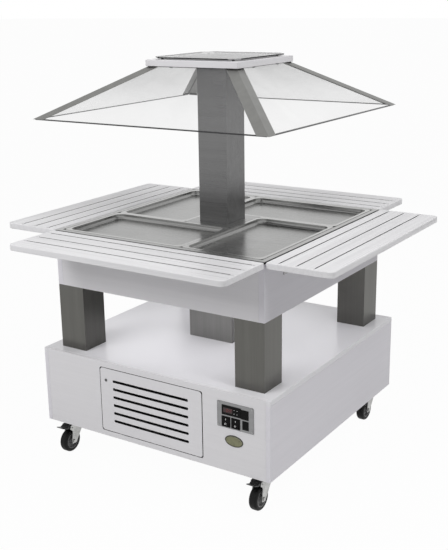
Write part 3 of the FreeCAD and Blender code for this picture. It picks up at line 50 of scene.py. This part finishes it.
class Shader:
    """One material with its Principled shader and short calls for the nodes around it."""

    def __init__(self, name, **values):
        self.material = bpy.data.materials.new(name)
        self.material.use_nodes = True
        self.tree = self.material.node_tree
        self.principled = self.tree.nodes["Principled BSDF"]
        self.coordinates = None
        for socket, value in values.items():
            self.principled.inputs[socket.replace("_", " ")].default_value = value

    def node(self, kind, inputs=(), **settings):
        made = self.tree.nodes.new(kind)
        for key, value in settings.items():
            setattr(made, key, value)
        for socket, value in dict(inputs).items():
            if isinstance(value, bpy.types.NodeSocket):
                self.tree.links.new(value, made.inputs[socket])
            else:
                made.inputs[socket].default_value = value
        return made

    def to(self, socket, value):
        self.tree.links.new(value, self.principled.inputs[socket])

    def place(self):
        """Object coordinates: a node's own frame, so the look rides with the piece."""
        if self.coordinates is None:
            self.coordinates = self.node("ShaderNodeTexCoord").outputs["Object"]
        return self.coordinates

    def stretched(self, scale, turn=(0, 0, 0), shift=(0, 0, 0)):
        inputs = {"Vector": self.place(), "Scale": scale, "Rotation": turn, "Location": shift}
        return self.node("ShaderNodeMapping", inputs).outputs["Vector"]

    def noise(self, vector, scale=1.0, detail=3.0, roughness=0.5, distortion=0.0):
        inputs = {
            "Vector": vector, "Scale": scale, "Detail": detail, "Roughness": roughness, "Distortion": distortion,
        }
        return self.node("ShaderNodeTexNoise", inputs).outputs["Fac"]

    def axis(self, name):
        return self.node("ShaderNodeSeparateXYZ", {"Vector": self.place()}).outputs[name]

    def normal_axis(self, name):
        """One part of the face's normal in the piece's own frame, so it turns with the piece."""
        normal = self.node("ShaderNodeNewGeometry").outputs["True Normal"]
        turned = self.node("ShaderNodeVectorTransform", {"Vector": normal}, vector_type="NORMAL",
                           convert_from="WORLD", convert_to="OBJECT")
        return self.node("ShaderNodeSeparateXYZ", {"Vector": turned.outputs["Vector"]}).outputs[name]

    def ramp(self, factor, stops, smooth=False):
        """Colour or grey by stops of (position, value)."""
        made = self.node("ShaderNodeValToRGB", {"Fac": factor})
        band = made.color_ramp
        band.interpolation = "EASE" if smooth else "LINEAR"
        while len(band.elements) < len(stops):
            band.elements.new(0.5)
        for element, (position, value) in zip(band.elements, stops):
            element.position = position
            element.color = (*value, 1) if isinstance(value, tuple) else (value, value, value, 1)
        return made.outputs["Color"]

    def span(self, value, low, high, start=0.0, end=1.0):
        inputs = {"Value": value, "From Min": low, "From Max": high, "To Min": start, "To Max": end}
        return self.node("ShaderNodeMapRange", inputs).outputs["Result"]

    def math(self, operation, a, b=0.0):
        made = self.node("ShaderNodeMath", operation=operation)
        for socket, value in zip(made.inputs, (a, b)):
            if isinstance(value, bpy.types.NodeSocket):
                self.tree.links.new(value, socket)
            else:
                socket.default_value = value
        return made.outputs[0]

    def mixed(self, factor, a, b, blend="MIX"):
        made = self.node("ShaderNodeMix", data_type="RGBA", blend_type=blend)
        for index, value in ((0, factor), (6, a), (7, b)):
            socket = made.inputs[index]
            if isinstance(value, bpy.types.NodeSocket):
                self.tree.links.new(value, socket)
            elif index == 0:
                socket.default_value = value
            else:
                socket.default_value = (*value, 1)
        return made.outputs[2]

    def bump(self, height, depth, strength=1.0):
        inputs = {"Height": height, "Distance": depth, "Strength": strength}
        self.to("Normal", self.node("ShaderNodeBump", inputs).outputs["Normal"])


def wear(material, *names):
    """Gives CAD nodes a material in place of the one they came with."""
    for name in names:
        mesh = NODES[name].data
        mesh.materials.clear()
        mesh.materials.append(material)


# ------------------------------------------------------------------ materials

GRAIN_SCALE = {
    "X": (1.6, 70, 70),
    "Y": (70, 1.6, 70),
    "Z": (70, 70, 1.6),
}


def painted_board(name, grain, tone=(0.80, 0.79, 0.81), streak=0.018, roughness=0.34, shade_mask=None):
    """Satin white paint over an open-grained board: faint long streaks, slight unevenness."""
    shader = Shader(name)
    long_grain = shader.noise(shader.stretched(GRAIN_SCALE[grain]), 1.0, 5, 0.6, 0.4)
    fine = shader.noise(shader.stretched(tuple(v * 3.1 for v in GRAIN_SCALE[grain])), 1.0, 3, 0.7)
    cloud = shader.noise(shader.stretched((2.2, 2.2, 2.2)), 1.0, 2, 0.5)
    dark = tuple(v * (1 - streak) for v in tone)
    light = tuple(min(v * (1 + 0.25 * streak), 0.9) for v in tone)
    colour = shader.mixed(shader.span(long_grain, 0.35, 0.62), dark, light)
    tint = shader.ramp(fine, [(0.3, 1 - 0.7 * streak), (0.6, 1.0)])
    colour = shader.mixed(1.0, colour, tint, "MULTIPLY")
    shade = shader.ramp(cloud, [(0.3, (0.98, 0.978, 0.982)), (0.7, (1, 1, 1))])
    colour = shader.mixed(1.0, colour, shade, "MULTIPLY")
    # Painted shade: faces under the shade mask (slot walls, door gaps) are painted near-black.
    if shade_mask:
        colour = shader.mixed(shade_mask(shader), colour, (0.006, 0.006, 0.006))
    shader.to("Base Color", colour)
    shader.to("Roughness", shader.span(long_grain, 0.3, 0.7, roughness + 3 * streak, roughness - 2 * streak))
    height = shader.math("ADD", long_grain, shader.math("MULTIPLY", fine, 0.4))
    shader.bump(height, 0.00005, min(0.2, 10 * streak))
    return shader.material


def all_of(shader, *tests):
    """1 where every (operation, value, limit) holds."""
    total = 1.0
    for operation, value, limit in tests:
        total = shader.math("MULTIPLY", shader.math(operation, value, limit), total)
    return total


def slot_walls(across, along):
    """Marks the unlit upright walls of a shelf's long slots, not its faces and outer edges, for painted shade."""
    def mask(shader):
        flat = shader.math("ABSOLUTE", shader.normal_axis("Z"))
        out = shader.math("ABSOLUTE", shader.axis(across))
        length = shader.math("ABSOLUTE", shader.axis(along))
        return all_of(
            shader, ("LESS_THAN", flat, 0.5), ("GREATER_THAN", out, 0.460),
            ("LESS_THAN", out, 0.690), ("LESS_THAN", length, 0.430),
        )
    return mask


def cut_walls(shader):
    """Marks the unlit walls of the door's slots and of the gap round the door, for painted shade."""
    facing = shader.math("ABSOLUTE", shader.normal_axis("Y"))
    side = shader.math("ABSOLUTE", shader.axis("X"))
    up = shader.axis("Z")
    return all_of(shader, ("LESS_THAN", facing, 0.5), ("LESS_THAN", side, 0.235), ("GREATER_THAN", up, 0.150),
                  ("LESS_THAN", up, 0.415), ("LESS_THAN", shader.axis("Y"), -0.45))


def steel(name, brush, base, roughness=0.3, contrast=0.12, fine=900, shade=None, anisotropic=0.4,
          uneven=0.12):
    """Brushed steel: fine lines along one axis, wide soft bands, uneven polish."""
    shader = Shader(name, Metallic=1.0, Anisotropic=anisotropic)
    scale = {"X": (5, fine, fine), "Y": (fine, 5, fine), "Z": (fine, fine, 5)}[brush]
    lines = shader.noise(shader.stretched(scale), 1.0, 2, 0.6)
    broad = shader.noise(shader.stretched(tuple(v * 0.05 for v in scale)), 1.0, 2, 0.5)
    smears = shader.noise(shader.stretched((6, 6, 4)), 1.0, 3, 0.55)
    colour = shader.mixed(
        shader.span(lines, 0.3, 0.7),
        tuple(v * (1 - contrast) for v in base),
        tuple(v * (1 + contrast) for v in base),
    )
    colour = shader.mixed(1.0, colour, shader.ramp(broad, [(0.25, 1 - uneven), (0.75, 1.0)]), "MULTIPLY")
    colour = shader.mixed(1.0, colour, shader.ramp(smears, [(0.3, 0.9), (0.7, 1.0)]), "MULTIPLY")
    if shade:
        colour = shader.mixed(1.0, colour, shade(shader), "MULTIPLY")
    shader.to("Base Color", colour)
    by_line = shader.span(lines, 0.3, 0.7, -0.05, 0.05)
    rough = shader.math("ADD", by_line, shader.span(smears, 0.3, 0.7, -0.03, 0.04))
    shader.to("Roughness", shader.math("ADD", rough, roughness))
    shader.bump(lines, 0.00006, 0.25)
    return shader.material


def pan_highlight_and_shade(shader):
    """Painted highlight on the rolled rims and painted shade on the walls, a little lighter and darker than the
    floor, the same on every pan.
    """
    return shader.ramp(
        shader.span(shader.axis("Z"), 0.872, 0.890),
        [(0.0, 1.0), (0.6, 0.85), (0.82, 1.2), (0.88, 1.5)],
    )


def tub_shade(shader):
    """Bright top flange and a well at half its tone; the sunken ledge under the pan rims is painted near-black as
    shade.
    """
    return shader.ramp(
        shader.span(shader.axis("Z"), 0.8655, 0.8925),
        [(0.0, 0.5), (0.315, 0.5), (0.426, 0.04), (0.915, 0.04), (0.944, 1.0)],
    )


def pane_sheet():
    """Clear acrylic panes with faint smears, painted grey shade growing towards the slab at the top, and dark
    sawn edges.
    """
    shader = Shader("clear_pane", Roughness=0.06, Specular_IOR_Level=0.3)
    smears = shader.noise(shader.stretched((3.0, 3.0, 5.0)), 1.0, 4, 0.6, 0.6)
    slope = shader.math("ABSOLUTE", shader.normal_axis("Z"))
    up = shader.axis("Z")
    cut_edge = all_of(shader, ("GREATER_THAN", slope, 0.05), ("LESS_THAN", slope, 0.8))
    cut_edge = shader.math("MAXIMUM", cut_edge, shader.math("LESS_THAN", up, PANE_LOW + 0.004))
    film = shader.mixed(smears, (0.16, 0.16, 0.165), (0.24, 0.24, 0.245))
    shader.to("Base Color", shader.mixed(cut_edge, film, (0.01, 0.01, 0.011)))
    # Painted shade under the slab: the panes turn more opaque grey towards the top.
    slab_shade = shader.ramp(shader.span(up, 1.33, 1.47), [(0.0, 0.06), (1.0, 0.14)], smooth=True)
    shade_alpha = shader.math("MULTIPLY", slab_shade, shader.span(smears, 0.3, 0.7, 0.7, 1.4))
    shader.to("Alpha", shader.math("MAXIMUM", shade_alpha, shader.math("MULTIPLY", cut_edge, 0.85)))
    return shader.material


def cover_sheet():
    """Thin half-opaque grey cover over the slab, its grey a painted shade over the slab top, with dark straight
    edges and pale cut-off corners.
    """
    shader = Shader("clear_cover", Roughness=0.08, Specular_IOR_Level=0.2)
    smears = shader.noise(shader.stretched((5.0, 5.0, 5.0)), 1.0, 4, 0.6, 0.6)
    sides = [shader.math("ABSOLUTE", shader.normal_axis(name)) for name in ("X", "Y")]
    edge = shader.math("GREATER_THAN", shader.math("MAXIMUM", *sides), 0.9)
    # Painted shade: the grey, half-opaque film darkens the slab top seen through it.
    body = shader.mixed(smears, (0.24, 0.24, 0.245), (0.34, 0.34, 0.345))
    shader.to("Base Color", shader.mixed(edge, body, (0.012, 0.012, 0.013)))
    shader.to("Alpha", shader.math("MAXIMUM", shader.span(smears, 0.3, 0.7, 0.5, 0.6), edge))
    return shader.material


def plastic(name, colour, roughness=0.35, grit=0.0002, scale=900, speck=0.15, gloss=0.5):
    """Moulded plastic with a fine spark texture and slight handling marks."""
    shader = Shader(name, Specular_IOR_Level=gloss)
    grain = shader.noise(shader.stretched((scale, scale, scale)), 1.0, 2, 0.5)
    marks = shader.noise(shader.stretched((45, 45, 45)), 1.0, 4, 0.65)
    low = tuple(v * (1 - speck) for v in colour)
    high = tuple(v * (1 + speck) + 0.004 for v in colour)
    shader.to("Base Color", shader.mixed(marks, low, high))
    shader.to("Roughness", shader.span(marks, 0.3, 0.7, roughness - 0.06, roughness + 0.08))
    shader.bump(grain, grit, 0.3)
    return shader.material


def zinc(name, colour, roughness=0.34):
    """Bright zinc plating: faint spangle, dull handling patches."""
    shader = Shader(name, Metallic=1.0)
    spangle = shader.node("ShaderNodeTexVoronoi", {"Vector": shader.stretched((260, 260, 260)), "Scale": 1.0})
    patches = shader.noise(shader.stretched((35, 35, 35)), 1.0, 4, 0.6)
    cells = shader.node("ShaderNodeSeparateColor", {"Color": spangle.outputs["Color"]}).outputs[0]
    colour_a = shader.mixed(cells, tuple(v * 0.85 for v in colour), tuple(min(v * 1.1, 1) for v in colour))
    patchy = shader.ramp(patches, [(0.3, 0.75), (0.7, 1.0)])
    shader.to("Base Color", shader.mixed(1.0, colour_a, patchy, "MULTIPLY"))
    shader.to("Roughness", shader.span(patches, 0.3, 0.7, roughness + 0.14, roughness - 0.04))
    shader.bump(patches, 0.0002, 0.3)
    return shader.material


def castor_wheel(name, axle_y, axle_z):
    """Black rubber tyre with a grey nylon hub; the colour changes with the radius."""
    shader = Shader(name, Specular_IOR_Level=0.2)
    across = shader.math("SUBTRACT", shader.axis("Y"), axle_y)
    up = shader.math("SUBTRACT", shader.axis("Z"), axle_z)
    squares = shader.math("ADD", shader.math("MULTIPLY", across, across), shader.math("MULTIPLY", up, up))
    radius = shader.math("SQRT", squares)
    is_tyre = shader.math("GREATER_THAN", radius, 0.0315)
    grime = shader.noise(shader.stretched((70, 70, 70)), 1.0, 5, 0.65)
    rubber = shader.mixed(grime, (0.002, 0.002, 0.002), (0.007, 0.007, 0.007))
    hub = shader.mixed(grime, (0.18, 0.18, 0.185), (0.36, 0.36, 0.36))
    shader.to("Base Color", shader.mixed(is_tyre, hub, rubber))
    shader.to("Roughness", shader.span(grime, 0.3, 0.7, 0.42, 0.62))
    ribs = shader.node("ShaderNodeTexNoise", {"Vector": shader.stretched((600, 300, 300)), "Scale": 1.0})
    shader.bump(ribs.outputs["Fac"], 0.0002, 0.3)
    return shader.material


def coil(name):
    """Aluminium fins of a condenser, standing close together along X, with painted shade in the dark gaps between
    them.
    """
    shader = Shader(name, Metallic=1.0)
    inputs = {"Vector": shader.stretched((1, 1, 1)), "Scale": 95.0, "Distortion": 0.15}
    fins = shader.node("ShaderNodeTexWave", inputs)
    fins.bands_direction = "X"
    dust = shader.noise(shader.stretched((30, 30, 30)), 1.0, 4, 0.6)
    colour = shader.mixed(fins.outputs["Fac"], (0.03, 0.03, 0.03), (0.2, 0.2, 0.205))
    dusty = shader.ramp(dust, [(0.35, 0.7), (0.65, 1.0)])
    shader.to("Base Color", shader.mixed(1.0, colour, dusty, "MULTIPLY"))
    shader.to("Roughness", shader.span(dust, 0.3, 0.7, 0.55, 0.38))
    shader.bump(fins.outputs["Fac"], 0.001, 0.5)
    return shader.material


def foam(name):
    shader = Shader(name, Roughness=0.85)
    cells = shader.node("ShaderNodeTexVoronoi", {"Vector": shader.stretched((420, 420, 420)), "Scale": 1.0})
    colour = shader.ramp(cells.outputs["Distance"], [(0.0, (0.55, 0.47, 0.3)), (0.7, (0.78, 0.7, 0.5))])
    shader.to("Base Color", colour)
    shader.bump(cells.outputs["Distance"], 0.0006, 0.6)
    return shader.material


def copper(name):
    shader = Shader(name, Metallic=1.0)
    marks = shader.noise(shader.stretched((60, 60, 60)), 1.0, 4, 0.6)
    shader.to("Base Color", shader.mixed(marks, (0.35, 0.13, 0.06), (0.75, 0.36, 0.2)))
    shader.to("Roughness", shader.span(marks, 0.3, 0.7, 0.45, 0.25))
    shader.bump(marks, 0.0002, 0.3)
    return shader.material


PANE_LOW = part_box("canopy_panes")[0].z
BOARD_X = painted_board("white_paint_grain_x", "X", shade_mask=cut_walls)
# The side boards take a slightly darker, bluer copy of the white as painted shade, and the base top a slightly
# lighter copy as painted light.
BOARD_Y = painted_board("white_paint_grain_y", "Y", tone=(0.79, 0.775, 0.82))
BOARD_TOP = painted_board("white_paint_top", "X", tone=(0.83, 0.825, 0.85), streak=0.001, roughness=0.26)
SHELF_WHITE = (0.8, 0.795, 0.81)
SHELF_X = painted_board("shelf_paint_grain_x", "X", SHELF_WHITE, 0.06, shade_mask=slot_walls("Y", "X"))
SHELF_Y = painted_board("shelf_paint_grain_y", "Y", SHELF_WHITE, 0.06, shade_mask=slot_walls("X", "Y"))
LEG_STEEL = steel("leg_steel_brushed", "Z", (0.15, 0.148, 0.138), 0.34, 0.08)
# The duct wears a lighter copy of the leg steel, a painted reflection that makes it read brighter than the legs.
DUCT_STEEL = steel("duct_steel_brushed", "Z", (0.28, 0.278, 0.268), 0.34, 0.08)
COLUMN_STEEL = steel("column_steel_brushed", "X", (0.2, 0.2, 0.2), 0.3, 0.08)
TUB_STEEL = steel("tub_steel_satin", "X", (0.45, 0.45, 0.445), 0.3, 0.05, fine=500, shade=tub_shade,
                  anisotropic=0.2)
CROSS_STEEL = steel("cross_steel_satin", "X", (0.36, 0.36, 0.355), 0.3, 0.05, fine=500, anisotropic=0.2)
PAN_STEEL = steel("pan_steel_satin", "X", (0.33, 0.33, 0.325), 0.26, 0.02, fine=700, shade=pan_highlight_and_shade,
                  anisotropic=0.2, uneven=0.04)
BEZEL = steel("bezel_aluminium_satin", "X", (0.31, 0.31, 0.315), 0.38, 0.06, fine=1100)
PROFILE = steel("profile_aluminium_brushed", "Z", (0.26, 0.26, 0.25), 0.36, 0.1, fine=700)
SMALL_STEEL = zinc("small_steel_satin", (0.42, 0.42, 0.42), 0.3)
CASTOR_STEEL = zinc("castor_zinc", (0.54, 0.54, 0.53), 0.28)
LATCH = zinc("latch_zinc_dark", (0.13, 0.13, 0.13), 0.4)
BLACK = plastic("black_plastic_satin", (0.003, 0.003, 0.003), 0.4, gloss=0.08)
KEY = plastic("key_plastic_dark", (0.012, 0.012, 0.013), 0.45, gloss=0.2)
PEDAL = plastic("pedal_black_coat", (0.014, 0.014, 0.014), 0.35)
CAN = plastic("can_black_paint", (0.018, 0.018, 0.02), 0.3, scale=300)
FAN = plastic("fan_grey_plastic", (0.05, 0.05, 0.055), 0.45)
CLIP = plastic("canopy_clip_dark", (0.05, 0.05, 0.05), 0.35)
PANE = pane_sheet()
COVER = cover_sheet()

wear(BOARD_X, "base_front_panel", "base_back_panel", "base_floor_panel", "door_panel", "apron_cross_boards",
     "deck_panel", "canopy_slab")
wear(BOARD_TOP, "base_top_panel")
wear(BOARD_Y, "base_side_panels", "apron_side_boards")
wear(SHELF_X, "shelf_front", "shelf_back")
wear(SHELF_Y, "shelf_right", "shelf_left")
wear(LEG_STEEL, "legs")
wear(DUCT_STEEL, "service_duct")
wear(COLUMN_STEEL, "column")
wear(TUB_STEEL, "well_tub")
wear(CROSS_STEEL, "pan_support_cross")
wear(PAN_STEEL, *(f"pan_{corner}" for corner in CORNERS))
wear(BEZEL, "control_bezel")
wear(PROFILE, "corner_profiles")
wear(SMALL_STEEL, "door_pins", "fixing_screws", "shelf_hinge_brackets",
     *(f"shelf_hinge_straps_{side}" for side in SIDES))
wear(CASTOR_STEEL, "castor_plates", *(f"castor_fork_{corner}" for corner in CORNERS))
wear(PEDAL, "brake_pedal_front_left", "brake_pedal_front_right")
wear(BLACK, "control_modules", "rocker_main", "rocker_light", "power_inlet")
wear(CLIP, "canopy_fixings")
wear(KEY, *(f"thermostat_key_{i}" for i in (1, 2, 3, 4)))
wear(LATCH, "door_latch")
wear(PANE, "canopy_panes")
wear(COVER, "cover_plate")
wear(foam("foam_insulation"), "well_insulation")
wear(CAN, "compressor")
wear(coil("condenser_fins"), "condenser_unit")
wear(FAN, "condenser_fan")
wear(copper("copper_pipe"), "refrigerant_circuit")
for corner in CORNERS:
    low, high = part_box(f"castor_wheel_{corner}")
    centre = (low + high) / 2
    wear(castor_wheel(f"castor_rubber_{corner}", centre.y, centre.z), f"castor_wheel_{corner}")


# ------------------------------------------------------------------ small pieces on the front

def flat_shape(name, outlines, depth, material, body, matrix, bevel=0.0):
    """Extrudes flat outlines (x across, y up) by depth towards the viewer and places them."""
    mesh = bpy.data.meshes.new(name)
    built = bmesh.new()
    for points in outlines:
        corners = [built.verts.new((x, y, 0.0)) for x, y in points]
        face = built.faces.new(corners)
        raised = bmesh.ops.extrude_face_region(built, geom=[face])
        moved = [item for item in raised["geom"] if isinstance(item, bmesh.types.BMVert)]
        bmesh.ops.translate(built, verts=moved, vec=(0, 0, depth))
    bmesh.ops.recalc_face_normals(built, faces=built.faces)
    if bevel:
        bmesh.ops.bevel(built, geom=list(built.edges), offset=bevel, segments=2, affect="EDGES",
                        clamp_overlap=True)
    built.to_mesh(mesh)
    built.free()
    mesh.transform(matrix)
    mesh.materials.append(material)
    piece = bpy.data.objects.new(name, mesh)
    bpy.context.scene.collection.objects.link(piece)
    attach(piece, body)
    return piece


def facing_front(x, y, z):
    """Flat drawings in (across, up) stand on the front, with their thickness towards -Y."""
    return Matrix.Translation((x * MM, y * MM, z * MM)) @ Matrix.Rotation(math.pi / 2, 4, "X")


def bar(x0, y0, x1, y1):
    return [(x0 * MM, y0 * MM), (x1 * MM, y0 * MM), (x1 * MM, y1 * MM), (x0 * MM, y1 * MM)]


def ring_of(rx, ry, count=64):
    turns = [2 * math.pi * i / count for i in range(count)]
    return [(rx * math.cos(t), ry * math.sin(t)) for t in turns]


def oval_plate():
    """Bare oval plate: a dark rolled rim round a slightly domed olive field."""
    rim_paint = steel("oval_rim_grey", "X", (0.07, 0.07, 0.06), 0.34, 0.1)
    field_paint = plastic("oval_field_olive", (0.2, 0.2, 0.11), 0.3, speck=0.5)
    profile = [(36.5, 21.0, 0.0), (36.5, 21.0, 1.2), (35.8, 20.3, 1.9), (33.6, 18.1, 1.9), (33.0, 17.5, 1.1),
               (24.0, 12.6, 1.5), (12.0, 6.3, 1.8), (0.4, 0.2, 1.9)]
    mesh = bpy.data.meshes.new("oval_plate")
    built = bmesh.new()
    rings = []
    for rx, ry, height in profile:
        rings.append([built.verts.new((x * MM, y * MM, height * MM)) for x, y in ring_of(rx, ry)])
    for level, (outer, inner) in enumerate(zip(rings, rings[1:])):
        for i in range(len(outer)):
            j = (i + 1) % len(outer)
            face = built.faces.new((outer[i], outer[j], inner[j], inner[i]))
            face.material_index = 0 if level < 4 else 1
            face.smooth = True
    built.faces.new(rings[-1]).material_index = 1
    built.faces.new(list(reversed(rings[0])))
    built.to_mesh(mesh)
    built.free()
    mesh.transform(facing_front(358, -500, 255))
    mesh.materials.append(rim_paint)
    mesh.materials.append(field_paint)
    piece = bpy.data.objects.new("oval_plate", mesh)
    bpy.context.scene.collection.objects.link(piece)
    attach(piece, "cart")


SEGMENTS = {
    "a": (1.2, 10.2, 5.2, 11.2), "b": (5.2, 5.9, 6.2, 10.2), "c": (5.2, 1.0, 6.2, 5.1), "d": (1.2, 0.0, 5.2, 1.0),
    "e": (0.2, 1.0, 1.2, 5.1), "f": (0.2, 5.9, 1.2, 10.2), "g": (1.2, 5.0, 5.2, 6.0),
}
DIGIT_SEGMENTS = {"0": "abcdef", "4": "bcfg", "-": "g"}


def display():
    """Dark red window of the thermostat with three dim seven-segment figures and a lamp."""
    window = Shader("display_window", Roughness=0.12)
    glow = window.noise(window.stretched((120, 120, 120)), 1.0, 2, 0.5)
    window.to("Base Color", window.mixed(glow, (0.018, 0.004, 0.005), (0.035, 0.007, 0.009)))
    figures = Shader("display_figures", Roughness=0.4, Emission_Strength=0.06)
    flicker = figures.noise(figures.stretched((300, 300, 300)), 1.0, 2, 0.5)
    figures.to("Base Color", figures.mixed(flicker, (0.16, 0.007, 0.009), (0.26, 0.012, 0.014)))
    figures.to("Emission Color", figures.mixed(flicker, (0.5, 0.02, 0.02), (0.7, 0.03, 0.03)))
    flat_shape("display_window", [bar(-18.6, -9.1, 18.6, 9.1)], 0.25 * MM, window.material, "cart",
               facing_front(335.5, -503.4, 365.5), bevel=0.05 * MM)
    outlines = []
    for place, digit in enumerate("-04"):
        start = -13.5 + 9.2 * place
        for segment in DIGIT_SEGMENTS[digit]:
            x0, y0, x1, y1 = SEGMENTS[segment]
            lean = 0.9
            outlines.append([
                ((start + x0 + lean * y0 / 11.2) * MM, (y0 - 5.6) * MM),
                ((start + x1 + lean * y0 / 11.2) * MM, (y0 - 5.6) * MM),
                ((start + x1 + lean * y1 / 11.2) * MM, (y1 - 5.6) * MM),
                ((start + x0 + lean * y1 / 11.2) * MM, (y1 - 5.6) * MM),
            ])
    outlines.append([(x + 16.2 * MM, y + 5.0 * MM) for x, y in ring_of(0.9 * MM, 0.9 * MM, 16)])
    flat_shape("display_figures", outlines, 0.12 * MM, figures.material, "cart",
               facing_front(335.5, -503.65, 365.5))


def marks():
    """White marks: line and ring on each rocker, small arrows beside the thermostat keys."""
    white = plastic("white_print", (0.85, 0.85, 0.85), 0.45)
    for name, x in (("main", 327.5), ("light", 366.5)):
        tilt = Matrix.Translation((x * MM, -0.498, 0.3225)) @ Matrix.Rotation(math.radians(-7), 4, "X")
        slope = math.atan2(1.8, 14.5)
        for half, outline in (("upper", [bar(-0.9, -3.0, 0.9, 3.0)]), ("lower", ring_strip(3.2, 2.1))):
            sign = 1 if half == "upper" else -1
            middle = 8.2
            at = Vector((0, -6.5 - 1.8 * middle / 14.5 - 0.02, sign * middle)) * MM
            lie = Matrix.Translation(at) @ Matrix.Rotation(math.pi / 2 + sign * slope, 4, "X")
            flat_shape(f"rocker_{name}_mark_{half}", outline, 0.08 * MM, white, f"switch_{name}",
                       tilt @ lie)
    arrow = [(-1.5 * MM, -1.1 * MM), (1.5 * MM, -1.1 * MM), (0, 1.5 * MM)]
    spots = {1: (362, 372, 0), 2: (374, 372, 90), 3: (362, 359, 180), 4: (374, 359, 270)}
    for key, (x, z, turn) in spots.items():
        spin = Matrix.Rotation(math.radians(turn), 4, "Z")
        flat_shape(f"key_mark_{key}", [arrow], 0.06 * MM, white, f"key_{key}",
                   facing_front(x, -504.8, z) @ spin)


def ring_strip(outer, inner, parts=24):
    """A flat ring as short blocks side by side."""
    blocks = []
    for i in range(parts):
        a, b = 2 * math.pi * i / parts, 2 * math.pi * (i + 1) / parts
        blocks.append([(r * math.cos(t) * MM, r * math.sin(t) * MM) for r, t in
                       ((inner, a), (outer, a), (outer, b), (inner, b))])
    return blocks


oval_plate()
display()
marks()


# ------------------------------------------------------------------ stage, lamps and camera

def background_factor(tree):
    """1 for rays that see the background: from the camera, in a reflection or through glass."""
    path = tree.nodes.new("ShaderNodeLightPath")
    seen = path.outputs["Is Camera Ray"]
    for name in ("Is Glossy Ray", "Is Transmission Ray"):
        largest = tree.nodes.new("ShaderNodeMath")
        largest.operation = "MAXIMUM"
        tree.links.new(seen, largest.inputs[0])
        tree.links.new(path.outputs[name], largest.inputs[1])
        seen = largest.outputs[0]
    return seen


def white_world(light):
    world = bpy.data.worlds.new("studio")
    bpy.context.scene.world = world
    world.use_nodes = True
    tree = world.node_tree
    tree.nodes.clear()
    mix = tree.nodes.new("ShaderNodeMixShader")
    for index, strength in ((1, light), (2, 1.0)):
        background = tree.nodes.new("ShaderNodeBackground")
        background.inputs["Strength"].default_value = strength
        background.inputs["Color"].default_value = (1, 1, 1, 1)
        tree.links.new(background.outputs[0], mix.inputs[index])
    tree.links.new(background_factor(tree), mix.inputs[0])
    output = tree.nodes.new("ShaderNodeOutputWorld")
    tree.links.new(mix.outputs[0], output.inputs[0])


def pale_floor(glow):
    """A wide pale floor: mostly its own white where it is seen, the rest lit, so shadows stay."""
    mesh = bpy.data.meshes.new("floor")
    size = 60.0
    corners = [(-size, -size, 0), (size, -size, 0), (size, size, 0), (-size, size, 0)]
    mesh.from_pydata(corners, [], [(0, 1, 2, 3)])
    floor = bpy.data.objects.new("floor", mesh)
    bpy.context.scene.collection.objects.link(floor)
    paint = bpy.data.materials.new("floor_white")
    paint.use_nodes = True
    tree = paint.node_tree
    tree.nodes.clear()
    lit = tree.nodes.new("ShaderNodeBsdfDiffuse")
    lit.inputs["Color"].default_value = (0.6, 0.6, 0.6, 1)
    white = tree.nodes.new("ShaderNodeEmission")
    white.inputs["Color"].default_value = (1, 1, 1, 1)
    share = tree.nodes.new("ShaderNodeMath")
    share.operation = "MULTIPLY"
    share.inputs[1].default_value = glow
    tree.links.new(background_factor(tree), share.inputs[0])
    mix = tree.nodes.new("ShaderNodeMixShader")
    tree.links.new(share.outputs[0], mix.inputs[0])
    tree.links.new(lit.outputs[0], mix.inputs[1])
    tree.links.new(white.outputs[0], mix.inputs[2])
    output = tree.nodes.new("ShaderNodeOutputMaterial")
    tree.links.new(mix.outputs[0], output.inputs[0])
    mesh.materials.append(paint)


def lamp(name, place, target, size, power):
    data = bpy.data.lights.new(name, "AREA")
    data.shape = "SQUARE"
    data.size = size
    data.energy = power
    light = bpy.data.objects.new(name, data)
    light.location = place
    light.rotation_euler = (Vector(target) - Vector(place)).to_track_quat("-Z", "Y").to_euler()
    light.visible_camera = False
    light.visible_glossy = False
    bpy.context.scene.collection.objects.link(light)


CAMERA_PLACE = (1.9518, -3.0097, 1.7221)
YAW, PITCH, ROLL = math.radians(33.45), math.radians(-16.33), math.radians(-0.96)
FOCAL_PIXELS = 954.53
PHOTO_WIDTH, PHOTO_HEIGHT = 448, 550
CENTRE_X, CENTRE_Y = 215.66, 274.37


def photo_camera():
    """The photograph's view, from its fitted position, direction and focal length."""
    data = bpy.data.cameras.new("photo_camera")
    data.sensor_width = 36.0
    data.lens = FOCAL_PIXELS / PHOTO_HEIGHT * data.sensor_width
    data.shift_x = (PHOTO_WIDTH / 2 - CENTRE_X) / PHOTO_HEIGHT
    data.shift_y = (CENTRE_Y - PHOTO_HEIGHT / 2) / PHOTO_HEIGHT
    forward = Vector((-math.sin(YAW) * math.cos(PITCH), math.cos(YAW) * math.cos(PITCH), math.sin(PITCH)))
    level = Vector((math.cos(YAW), math.sin(YAW), 0))
    upright = level.cross(forward)
    right = math.cos(ROLL) * level + math.sin(ROLL) * upright
    up = -math.sin(ROLL) * level + math.cos(ROLL) * upright
    camera = bpy.data.objects.new("photo_camera", data)
    turn = Matrix((right, up, -forward)).transposed().to_4x4()
    camera.matrix_world = Matrix.Translation(CAMERA_PLACE) @ turn
    bpy.context.scene.collection.objects.link(camera)
    bpy.context.scene.camera = camera


white_world(0.33)
pale_floor(0.97)
lamp("key", (-1.3, -3.7, 3.5), (0, 0, 0.6), 2.2, 100)
lamp("side", (2.8, -0.4, 4.3), (0, 0, 0.6), 1.8, 85)
lamp("under", (0, 0, 0.672), (0, 0, 0), 0.84, 1.6)
photo_camera()
bpy.context.scene.view_settings.view_transform = "Standard"
